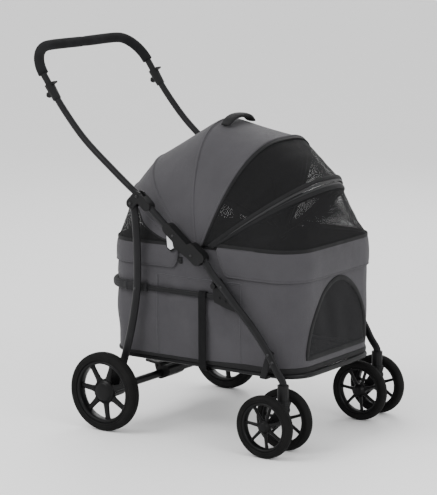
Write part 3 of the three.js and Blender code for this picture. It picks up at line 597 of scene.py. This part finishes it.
def grid_normals(grid, wrap=False):
    """The direction square to a grid of points, at each point."""
    along = (np.roll(grid, -1, 1) - np.roll(grid, 1, 1)) if wrap else np.gradient(grid, axis=1)
    normal = np.cross(along, np.gradient(grid, axis=0))
    return normal / (np.linalg.norm(normal, axis=2)[..., None] + 1e-12)


def sheet_of(name, grid, thickness, finishes, wrap=False, inside=0, where=None):
    """A cloth with two faces: the grid's points moved half the thickness each way along the grid's
    normal, joined round the edge. Its UV is the distance along and across the cloth, in metres.
    `inside` is the finish of its inner face, and `where` picks faces of a wrapped sheet for the last
    finish."""
    rows, cols = grid.shape[:2]
    normal = grid_normals(grid, wrap)
    both = np.stack([grid + normal * thickness / 2, grid - normal * thickness / 2])
    closed = np.concatenate([grid, grid[:, :1]], 1) if wrap else grid
    u = np.cumsum(np.linalg.norm(np.diff(closed, axis=1), axis=2), 1)
    u = np.concatenate([np.zeros((rows, 1)), u], 1)
    u = np.repeat(u.mean(0)[None], rows, 0)
    v = np.cumsum(np.linalg.norm(np.diff(closed, axis=0), axis=2), 0)
    v = np.concatenate([np.zeros((1, 1)), v.mean(1)[:, None]])
    v = np.repeat(v, u.shape[1], 1).reshape(rows, -1)
    across = cols if wrap else cols - 1
    outer, corners = grid_quads(rows, cols, rows - 1, across)
    uv_outer = np.stack([np.stack([u[r, c], v[r, c]], -1) for r, c in corners], 2).reshape(-1, 4, 2)
    faces, uvs = [outer, outer[:, ::-1] + rows * cols], [uv_outer, uv_outer[:, ::-1]]

    def close_edge(r, c, a, b, flip):
        strip = np.stack([a, b, b + rows * cols, a + rows * cols], -1)
        faces.append(strip[:, ::-1] if flip else strip)
        uvs.append(np.stack([np.stack([u[r, c], v[r, c]], -1)] * 4, 1))

    c = np.arange(across)
    for r in (0, rows - 1):
        close_edge(r, c, r * cols + (c + 1) % cols, r * cols + c, r > 0)
    if not wrap:
        r = np.arange(rows - 1)
        for c in (0, cols - 1):
            close_edge(r, c, r * cols + c, (r + 1) * cols + c, c > 0)
    faces = np.concatenate(faces)
    piece = built(name, both, faces.tolist(), np.concatenate(uvs).reshape(-1, 2), finishes[0])
    for finish in finishes[1:]:
        piece.data.materials.append(finish.material)
    index = np.zeros(len(faces), np.int32)
    index[len(outer):2 * len(outer)] = inside
    if where is not None:
        centre = (grid[:-1] + grid[1:]) / 2
        chosen = where(((centre + np.roll(centre, -1, 1)) / 2).reshape(-1, 3))
        index[:2 * len(outer)][np.tile(chosen, 2)] = len(finishes) - 1
    piece.data.polygons.foreach_set("material_index", index)
    edit = bmesh.new()
    edit.from_mesh(piece.data)
    if sum(f.calc_center_median().dot(f.normal) * f.calc_area() for f in edit.faces) < 0:
        bmesh.ops.reverse_faces(edit, faces=edit.faces)
    edit.to_mesh(piece.data)
    edit.free()
    return piece


basket_length, basket_width, basket_corner = 0.278, 0.192, 0.076  # half sizes and corner radius
half_round = 0.8746  # half the way round the outline


def basket_line(s, out=0.0):
    """The basket's outline from above: a rounded rectangle. s is the distance along it from the
    middle of the front, positive towards the left; `out` moves a point square to the outline."""
    length, width, radius = basket_length, basket_width, basket_corner
    flat, bend, wall = width - radius, radius * np.pi / 2, 2 * (length - radius)
    a = np.abs(s)
    turn = np.clip((a - flat) / radius, 0, np.pi / 2)
    turn = turn + np.clip((a - flat - bend - wall) / radius, 0, np.pi / 2)
    before = np.minimum(a, flat)
    side = np.clip(a - flat - bend, 0, wall)
    after = np.clip(a - flat - 2 * bend - wall, 0, flat)
    first = np.minimum(turn, np.pi / 2)
    second = np.maximum(turn - np.pi / 2, 0)
    x = length - radius + radius * np.cos(first) - side - radius * np.sin(second)
    y = before + radius * np.sin(first) - radius * (1 - np.cos(second)) - after
    return x + out * np.cos(turn), np.sign(s) * (y + out * np.sin(turn))


def on_basket(s, height, out):
    """Points at a distance along the basket's outline and a height, `out` from the outline."""
    x, y = basket_line(s, out)
    return np.stack([hub_x + x, y, height + 0 * x], -1)


def rim_height(x):
    """The basket's top edge: 471 mm at the back, rising to 484 mm at the front."""
    return 0.4775 + 0.0065 * x / basket_length


def wall_out(s, h):
    """How far the cloth stands out from the true outline: a soft belly between the floor at 190 mm
    and the rim at 480 mm, pinched under the side bar at the back half, with slow upright folds that
    fade towards the stiff floor and the bound rim."""
    x, y = basket_line(s)
    share = np.clip((h - 0.19) / 0.29, 0, 1)
    belly = 0.0045 * np.sin(np.pi * share) ** 0.7
    pinch = -0.004 * np.exp(-(((h - 0.363) / 0.014) ** 2)) * np.clip((0.09 - x) / 0.05, 0, 1)
    folds = 0.0021 * np.sin(s * 46 + 2.2 * np.sin(s * 9) + 5 * h) + 0.0013 * np.sin(s * 83 + h * 30)
    folds = folds + 0.0014 * np.sin(h * 60 + s * 14)
    return belly + pinch + folds * np.sin(np.pi * share) * np.clip((0.24 - x) / 0.1, 0.25, 1)


window_half, window_sill, window_rise, window_power = 0.134, 0.225, 0.178, 1.8


def in_window(points):
    """True inside the front window, the arch |y / half|^1.8 + ((z - sill) / rise)^2 < 1 above its sill."""
    x, y, z = points.T
    arch = np.abs(y / window_half) ** window_power + ((z - window_sill) / window_rise) ** 2
    return (x > hub_x + 0.2) & (z > window_sill) & (arch < 1)


wall_foot = 0.192
s = np.linspace(-half_round, half_round, 361)[:-1]
levels = np.linspace(0, 1, 61)[:, None]
heights = wall_foot + (rim_height(basket_line(s)[0]) - wall_foot) * levels
wall_grid = on_basket(s[None] + 0 * levels, heights, wall_out(s[None], heights))
# The walls' inner face gets the dark cloth, which is painted shade inside the basket.
wall_finishes = [canvas, dark_cloth_and_painted_shade, window_netting]
walls = sheet_of("basket_walls", wall_grid, 0.0025, wall_finishes, wrap=True, inside=1, where=in_window)
fitted(walls, "frame", "cloth", "basket_front", "basket_rear")


def edging(name, slot, s_path, h_path, out, thick, finish, closed=False, deep=None, side=up):
    """A rolled or bound edge laid along the basket's outside: a tube along (distance, height)."""
    path = on_basket(s_path, h_path, wall_out(s_path, h_path) + out)
    fitted(swept(name, path, thick, deep or thick, finish, side=side, sides=14, closed=closed), "frame", slot)


window_turn = np.linspace(0, np.pi, 90)
arch_y = window_half * signed_power(np.cos(window_turn), window_power)
arch_z = window_sill + window_rise * np.sin(window_turn)
sill = np.linspace(-window_half, window_half, 30)[1:-1]
sill_height = window_sill - 0.0015
frame_s = np.concatenate([arch_y, sill])
frame_h = np.concatenate([arch_z, np.full(len(sill), sill_height)])
edging("window_binding", "mesh", frame_s, frame_h, 0.0015, 0.0022, binding, closed=True, deep=0.0065,
       side=ahead)
sill_s = np.linspace(-0.138, 0.138, 40)
edging("window_sill_band", "mesh", sill_s, np.full(40, sill_height), 0.0012, 0.0045, binding, deep=0.002)
rim_h = rim_height(basket_line(s)[0]) + 0.001
edging("rim_binding", "mesh", s, rim_h, 0.0, 0.0036, binding, closed=True)

hem_deep = 0.004 + 0.0032 * np.clip((0.42 - np.abs(s)) / 0.12, 0, 1)
hem_path = on_basket(s, 0.193 + hem_deep - 0.004, 0.001)
hem = swept("floor_hem", hem_path, hem_deep, 0.0042, binding, side=up, sides=16, closed=True, power=3)
fitted(hem, "frame", "mesh")

# -------- padded rim bands
# Two padded bands of the same grey cloth are sewn over the rim, one round the front and one round
# the back. Their rounded ends stop short of each other, and gathered cloth shows between them.


def rim_band(name, s, low, top, puff):
    """A padded band that stands 3 mm off the basket and swells by sin(pi v)^0.4 more. v runs from its
    lower edge `low` to its top edge; both can change along the band."""
    v = np.linspace(0, 1, 19)[:, None]
    h = low[None] + (top - low)[None] * v
    swell = 0.003 + puff * np.sin(np.pi * v) ** 0.4
    band = sheet_of(name, on_basket(s[None] + 0 * v, h, wall_out(s[None], h) + swell), 0.0022, [canvas])
    fitted(band, "frame", "cloth")


tip = 0.3805
band_s = np.linspace(-tip, tip, 150)
fall = np.clip((tip - np.abs(band_s)) / 0.036, 0, 1)
band_top = rim_height(basket_line(band_s)[0]) + 0.004
band_low = band_top - 0.006 - (band_top - 0.006 - 0.4145) * np.sin(fall * np.pi / 2) ** 0.8
rim_band("front_rim_band", band_s, band_low, band_top, 0.0042)
back_start, back_end = 0.4955, 2 * half_round - 0.4955
back_s = np.linspace(back_start, back_end, 170)
back_at = np.where(back_s > half_round, back_s - 2 * half_round, back_s)
fall = np.clip(np.minimum(back_s - back_start, back_end - back_s) / 0.022, 0, 1)
back_top = rim_height(basket_line(back_at)[0]) + 0.002
back_low = back_top - 0.016 - (back_top - 0.016 - 0.4215) * np.sqrt(1 - (1 - fall) ** 2)
rim_band("rear_rim_band", back_at, back_low, back_top, 0.0038)
edging("front_band_piping", "cloth", band_s, band_low + 0.0008, 0.0045, 0.0021, canvas)
edging("rear_band_piping", "cloth", back_at, back_low + 0.0008, 0.0045, 0.0021, canvas)
edging("front_band_top_piping", "cloth", band_s, band_top, 0.004, 0.002, canvas)

# -------- seams, loops and the bar's cover
# Flat-felled seams with a row of stitches, two small webbing loops in the gap between the bands, and
# a dark sleeve that covers the bar round the basket's back.
thread = Finish("seam_thread", (0.045, 0.043, 0.048), 0.8)
thread.grain(0.4, 0.0003, 900.0)
thread.vary("Base Color", (0.3, (0.03, 0.03, 0.033)), (0.8, (0.07, 0.068, 0.075)), 500.0)


def side_distance(x):
    """Distance along the outline from the middle of the front to a place x ahead of the hood's pivot."""
    return (basket_width - basket_corner) + basket_corner * np.pi / 2 + (basket_length - basket_corner) - x


panel_front, panel_back = side_distance(0.124), side_distance(-0.124)
panel_top = 0.401


def seam_tube(name, s, h, out, radius, sides, shift=0.0, drop=0.0):
    """A thin tube along (distance, height) on the basket, moved along by `shift` and down by `drop`."""
    path = on_basket(s + shift, h - drop, wall_out(s, h) + out)
    return swept(name, path, radius, radius, thread, side=(1, 0, 0.3), sides=sides)


for side, sign in both_sides:
    seams = [
        (np.linspace(panel_front, panel_back, 60), np.full(60, panel_top)),
        (np.full(40, panel_front), np.linspace(0.2, panel_top, 40)),
        (np.full(40, panel_back), np.linspace(0.2, panel_top, 40)),
    ]
    made = []
    for along, h in seams:
        beside = {"drop": 0.004} if np.ptp(along) > 0.01 else {"shift": 0.004}
        made.append(seam_tube("seam", sign * along, h, 0.0012, 0.0011, 8))
        made.append(seam_tube("stitches", sign * along, h, 0.0013, 0.0006, 6, **beside))
    fitted(joined("side_seams_" + side, made), "frame", "cloth")
    loop_route = [(193, 449.5), (198.5, 447), (198.5, 436), (193, 432.5)]
    loop_path = line_through([(hub_x - 0.052, sign * y / 1000, z / 1000) for y, z in loop_route], 24)
    loop = swept("webbing_loop_" + side, loop_path, 0.0055, 0.0011, binding, ahead, 12, power=4)
    fitted(loop, "frame", "webbing")

cover_path = level_u(-150, count=100, **side_bar)
fitted(swept("bar_cover", cover_path, 0.011, 0.0075, dark_cloth_and_painted_shade, side=up, power=2.4), "frame", "cloth")

# -------- straps
# Ribbed black webbing, folded over the side bar at the top and drawn down under the basket's floor.
webbing = Finish("ribbed_webbing", (0.005, 0.005, 0.0055), 0.75, specular=0.1)
webbing.bump(webbing.waves(webbing.distances()[1], 620), 0.6, 0.0005)
webbing.grain(0.3, 0.0003, 500.0)
webbing.vary("Base Color", (0.3, (0.004, 0.004, 0.0045)), (0.8, (0.008, 0.008, 0.0085)), 60.0)
strap_route = [(195, 338), (195.2, 352), (195.8, 366), (199, 371.6), (202, 372.3), (205, 371.6),
               (207.6, 366), (207.6, 345), (207.2, 280), (206.8, 215), (206, 185), (201, 174),
               (188, 171.4), (170, 171.2)]
for side, sign in both_sides:
    points = [(hub_x + 0.019, sign * y / 1000, z / 1000) for y, z in strap_route]
    path = line_through(points, 150)
    strap = swept("side_webbing_" + side, path, 0.011, 0.0009, webbing, side=ahead, sides=16, power=5)
    fitted(strap, "frame", "webbing", "side_strap_" + side)

# -------- floor and cushion
# A stiff board in dark cloth lies in the basket, and on it a loose quilted cushion with a zipped
# cover: it is full in the middle, thin at its edge and pulled down along its sewn channels.


def inset_plate(name, inset, low, thick, finish, crown=0.0, quilt=0.0, rings=26):
    """A plate with the basket's outline, drawn in towards its middle ring by ring. With u = 1 at its
    edge, its top is thick * (0.45 + 0.55 * (1 - u^8)^0.5) above `low`, plus a crown, less grooves
    along both sewn directions, and its underside curves up a little towards the edge."""
    s = np.linspace(-half_round, half_round, 241)[:-1]
    u = np.linspace(0, 1, rings)[:, None]
    x, y = basket_line(s, -inset)
    gx, gy = x[None] * u, y[None] * u
    edge = (1 - u**8) ** 0.5
    groove = np.exp(-((((gx + 0.06) % 0.12) - 0.06) / 0.006) ** 2)
    groove = groove + np.exp(-((((gy + 0.055) % 0.11) - 0.055) / 0.006) ** 2)
    top = low + thick * (0.45 + 0.55 * edge) + crown * edge * (1 - u**2)
    top = top - quilt * np.minimum(groove, 1) * edge
    under_side = low + thick * 0.45 * (1 - edge) * 0.6 + 0 * gx
    loops = np.concatenate([np.stack([gx, gy, under_side], -1), np.stack([gx, gy, top], -1)[::-1]])
    loops[..., 0] += hub_x
    quads, _ = grid_quads(*loops.shape[:2], len(loops) - 1, loops.shape[1], flip=True)
    uv = loops[..., :2].reshape(-1, 2)[quads].reshape(-1, 2)
    piece = built(name, loops, quads.tolist(), uv, finish)
    close_poles(piece)
    return piece


fitted(inset_plate("basket_floor", 0.004, 0.1902, 0.0038, dark_cloth_and_painted_shade), "frame", "board", "floor_board")
cushion = inset_plate("quilted_cushion", 0.014, 0.1946, 0.017, canvas, crown=0.004, quilt=0.006, rings=90)
fitted(cushion, "frame", "cloth", "floor_cushion")

# -------- hood cloth
# One sheet of the basket's grey cloth, the same grey on both sides, its inner face painted dark as shade,
# drawn tight over three fixed bows and the front bow. Behind the rear bow it ends in a piped edge that curves
# down both sides.
hood_height = 0.458
bow_foot = 0.027  # how far above the pivot line a bow's line starts
bows = {  # angle above level, reach in millimetres, and how square the arch is
    "lower": (33, 313, 2.1), "zip": (36.5, 315, 2.2), "front": (66.5, 305, 2.8),
    "centre": (99, 320, 2.2), "seam": (136, 309, 2.4), "rear": (153, 315, 2.6),
}


def arch(bow, s, lift=0.0, tilt=0.0):
    """A bow's line: an arch |y / 200|^n + (out / reach)^n = 1 in a plane through the pivot line, from
    s = 0 at its left foot to s = 1 at its right, `lift` further out and turned back by `tilt` degrees."""
    angle, reach, power = bows[bow]
    angle = np.radians(angle + tilt)
    reach = reach / 1000 + lift
    first = np.arcsin(min(0.9, bow_foot / (reach * np.sin(angle))) ** (power / 2))
    turn = first + (np.pi - 2 * first) * s
    out = reach * np.sin(turn) ** (2 / power)
    y = (0.2 + lift) * signed_power(np.cos(turn), power)
    return np.stack([hub_x + out * np.cos(angle), y, hood_height + out * np.sin(angle)], -1)


def rim_line(toward, s, height, bow, out=0.004):
    """The hood's edge on the basket's rim: the basket's outline from beside a bow's left foot round
    the front (toward = 1) or the back (toward = -1) to beside its right foot."""
    start = toward * (abs(bow_foot / np.tan(np.radians(bows[bow][0]))) + 0.003)
    far = side_distance(start) if toward > 0 else half_round - side_distance(start)
    along = far * (1 - 2 * s)
    if toward < 0:
        along = np.where(along > 0, half_round - along, -half_round - along)
    return on_basket(along, height, out)


def stretched(rails, rows, soft=5):
    """Cloth drawn over a row of lines: straight between neighbours, with each crossing rounded by
    averaging over a few rows. The first and last lines stay where they are."""
    rails = np.asarray([evenly(rail, len(rail)) for rail in rails])
    t = np.linspace(0, len(rails) - 1, rows)
    k = np.minimum(t.astype(int), len(rails) - 2)
    u = (t - k)[:, None, None]
    grid = rails[k] * (1 - u) + rails[k + 1] * u
    for _ in range(soft):
        grid[1:-1] = (grid[:-2] + 2 * grid[1:-1] + grid[2:]) / 4
    return grid


def puckered(grid, depth, cells):
    """Moves cloth in and out along its normal by slow waves that die away at its four edges."""
    rows, cols = grid.shape[:2]
    v, u = np.meshgrid(np.linspace(0, 1, rows), np.linspace(0, 1, cols), indexing="ij")
    wave = np.sin(cells * u + 3.1 * np.sin(5 * v)) * 0.6 + np.sin(cells * 0.43 * u - 9 * v + 1.3)
    wave = wave + 0.4 * np.sin(23 * v + 7 * u)
    fade = (np.sin(np.pi * u) * np.sin(np.pi * v)) ** 0.5
    return grid + grid_normals(grid) * (depth * wave * fade)[..., None]


def edge_height(x):
    """Side view of the piped edge behind the rear bow: from the hub it climbs back, then turns level."""
    known_x = np.array([-290, -230, -204, -193, -184, -166, -139, -106, -90]) / 1000
    known_z = np.array([588, 578, 566, 551, 530, 514, 501, 489, 485]) / 1000
    return np.interp(x - hub_x, known_x, known_z)


arc = np.linspace(0, 1, 141)
rear_low = rim_line(-1, arc, 0.4755, "rear")
rear_high = evenly(arch("rear", arc), len(arc))
steps = 400
share = np.linspace(0, 1, steps)[:, None]
column = rear_high[None] * (1 - share[..., None]) + rear_low[None] * share[..., None]
above = column[..., 2] > edge_height(column[..., 0])
reach_down = np.where(above.all(0), steps - 1, np.argmin(above, 0)) / (steps - 1)
reach_down = np.pad(np.maximum(reach_down, 0.1), 3, "edge")
reach_down = np.convolve(reach_down, np.ones(7) / 7, "valid")[:, None]
piped_edge = rear_high * (1 - reach_down) + rear_low * reach_down
canopy_rails = [piped_edge, rear_high, arch("seam", arc), arch("centre", arc), arch("front", arc)]
canopy_grid = puckered(stretched(canopy_rails, 97), 0.0011, 34)
# The inner face gets the dark cloth, which is painted shade under the hood; the real cloth is the same grey
# on both sides.
canopy = sheet_of("hood_cloth", canopy_grid, 0.0022, [canvas, dark_cloth_and_painted_shade], inside=1)


def on_canopy(row, lift):
    """A line of the canopy's grid, moved out from the hub."""
    line = canopy_grid[row]
    centre = np.array([hub_x, 0, hood_height])
    away = (line - centre) / np.linalg.norm(line - centre, axis=1)[:, None]
    return line + away * lift


def top_of(bow):
    """The middle of a bow's line."""
    return tuple(arch(bow, np.array([0.5]))[0])


front_top, zip_top, lower_top = top_of("front"), top_of("zip"), top_of("lower")
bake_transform(canopy)
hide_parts("canopy_rear", "canopy_brow")

seam_lines = []
for row in (24, 48, 72):
    line, stitch_line = on_canopy(row, 0.0016), on_canopy(row + 1, 0.0015)
    seam_lines.append(swept("seam", line, 0.0032, 0.0010, canvas, side=(1, 0, 0.2), sides=10, power=3))
    seam_lines.append(swept("stitch", stitch_line, 0.0005, 0.0005, thread, side=(1, 0, 0.2), sides=6))
fitted(joined("hood_seams", seam_lines), "frame", "cloth")

square_to_front_bow = (-0.917, 0, 0.399)
piping_line, tape_line = arch("front", arc, 0.0012), arch("front", arc, 0.0006, -1.4)
front_piping = swept("front_edge_piping", piping_line, 0.003, 0.003, canvas, square_to_front_bow, 16)
front_tape = swept("front_edge_binding", tape_line, 0.0048, 0.0016, binding, square_to_front_bow, 16, power=3)
for piece, slot in ((front_piping, "cloth"), (front_tape, "mesh")):
    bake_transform(piece)
back_line = canopy_grid[0] + [0, 0, 0.0005]
back_piping = swept("rear_edge_piping", back_line, 0.0026, 0.0026, binding, side=(1, 0, 0.2), sides=14)
fitted(back_piping, "frame", "cloth")

# -------- nets
# Knitted black net fills the hood's back below the piped edge, its front from the front bow down to
# the zip, and the space from the zip down to the basket's rim.
hood_net = netting("hood_netting", (0.006, 0.006, 0.0065), 380.0, 0.5)
rear_net_grid = stretched([rear_low, piped_edge], 21, 0)
rear_net = sheet_of("rear_netting", rear_net_grid, 0.0012, [hood_net])
fitted(rear_net, "frame", "mesh")

rim_front = (hub_x + 0.282, 0, 0.485)
upper_between = ("front_bow", "zip_bow", front_top, zip_top)
lower_between = ("frame", "lower_bow", rim_front, lower_top)
upper_rails = [arch("front", arc, 0, -1.0), arch("zip", arc, 0, 0.6)]
lower_rails = [arch("lower", arc), rim_line(1, arc, 0.486, "lower")]
front_nets = [
    ("upper", upper_rails, 37, upper_between, "hood_mesh", (0.79, 0.153), ["front_bow", "zip_bow"]),
    ("lower", lower_rails, 31, lower_between, "front_mesh", (0.80, 0.144), ["lower_bow", "basket_front"]),
]
for name, rails, rows, between, node, flat, rests_on in front_nets:
    grid = stretched(rails, rows, 0)
    front_net = sheet_of(name + "_netting", puckered(grid, 0.0008, 20), 0.0012, [hood_net])
    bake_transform(front_net)
    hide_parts(node)

rim_tapes = (("front_rim_tape", 1, 0.4885, "lower"), ("rear_rim_tape", -1, 0.4775, "rear"))
for name, toward, height, bow in rim_tapes:
    line = rim_line(toward, arc, height, bow, 0.0046)
    fitted(swept(name, line, 0.0048, 0.0016, binding, side=up, sides=14, power=3), "frame", "mesh")

# -------- zip
# The hood opens along a zip between two padded black bindings, one over each of two bows.
zip_teeth = Finish("zip_tape", (0.009, 0.009, 0.010), 0.5, specular=0.5)
zip_teeth.bump(zip_teeth.waves(zip_teeth.distances()[1], 450), 0.8, 0.0008)
zip_teeth.vary("Base Color", (0.3, (0.007, 0.007, 0.008)), (0.8, (0.014, 0.014, 0.015)), 300.0)
zip_parts = [
    ("upper_zip_binding", "zip", 0.55, 0.0052, 0.003, binding, upper_between),
    ("upper_zip_tape", "zip", -1.15, 0.0034, 0.0013, zip_teeth, upper_between),
    ("lower_zip_tape", "lower", 0.95, 0.0034, 0.0013, zip_teeth, lower_between),
    ("lower_zip_binding", "lower", -0.55, 0.0052, 0.003, binding, lower_between),
]
for name, bow, tilt, wide, deep, finish, between in zip_parts:
    angle = np.radians(bows[bow][0] + tilt)
    square = (-np.sin(angle), 0, np.cos(angle))
    strip = swept(name, arch(bow, arc, 0.0012, tilt), wide, deep, finish, side=square, sides=18, power=2.8)
    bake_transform(strip)

# -------- side tabs
# A blank reflective tab with a black edge is sewn to the hood's foot on each side, behind the tube.
tab_face = Finish("reflective_tab", (0.62, 0.63, 0.65), 0.35, specular=0.5)
tab_face.pores(0.2, 0.0003, 900.0)
tab_face.vary("Base Color", (0.3, (0.56, 0.57, 0.59)), (0.8, (0.68, 0.69, 0.71)), 120.0)


def flat_tab(name, corners, y, thick, finish):
    """A flat plate across y: a side-view outline and the same outline one thickness away."""
    face = placed(corners, y)
    points = np.concatenate([face, face + [0, thick, 0]])
    n = len(corners)
    faces = [list(range(n))[::-1], list(range(n, 2 * n))]
    faces += [[i, (i + 1) % n, n + (i + 1) % n, n + i] for i in range(n)]
    uv = points[[i for f in faces for i in f]][:, [0, 2]]
    piece = built(name, points, faces, uv, finish, smooth=False)
    close_poles(piece)
    fitted(piece, "frame", "webbing")


tab_corners = [(-88, 517), (-48, 489), (-51, 481), (-75, 467), (-84, 473)]
edge_corners = [(-91, 521), (-44, 489), (-48, 477), (-74, 461), (-88, 470)]
for side, sign in both_sides:
    flat_tab("tab_edging_" + side, edge_corners, sign * 0.2055, 0.0012, binding)
    flat_tab("reflective_tab_" + side, tab_corners, sign * 0.2067 + 0.0006 * (sign - 1), 0.0012, tab_face)

# -------- carry handle
# A padded band of the black binding cloth stands over the hood's top, sewn down at both ends, with a
# line of thread along each edge.
handle_line = [(-13, -61, 765), (-12.5, -53, 769.5), (-12, -42, 777), (-12, -22, 783), (-12, 0, 784.5)]
handle_line = handle_line + [(x, -y, z) for x, y, z in handle_line[-2::-1]]
band_points = 60
handle_path = line_through(np.array(handle_line, float) / 1000 + [hub_x, 0, 0], band_points)
full = np.sin(np.pi * np.linspace(0, 1, band_points)) ** 0.35
wide, deep = 0.0105 + 0.0055 * full, 0.0018 + 0.0042 * full
carry = swept("carry_band", handle_path, wide, deep, binding, side=ahead, sides=24, power=2.6)
fitted(carry, "frame", "webbing", "carry_handle")
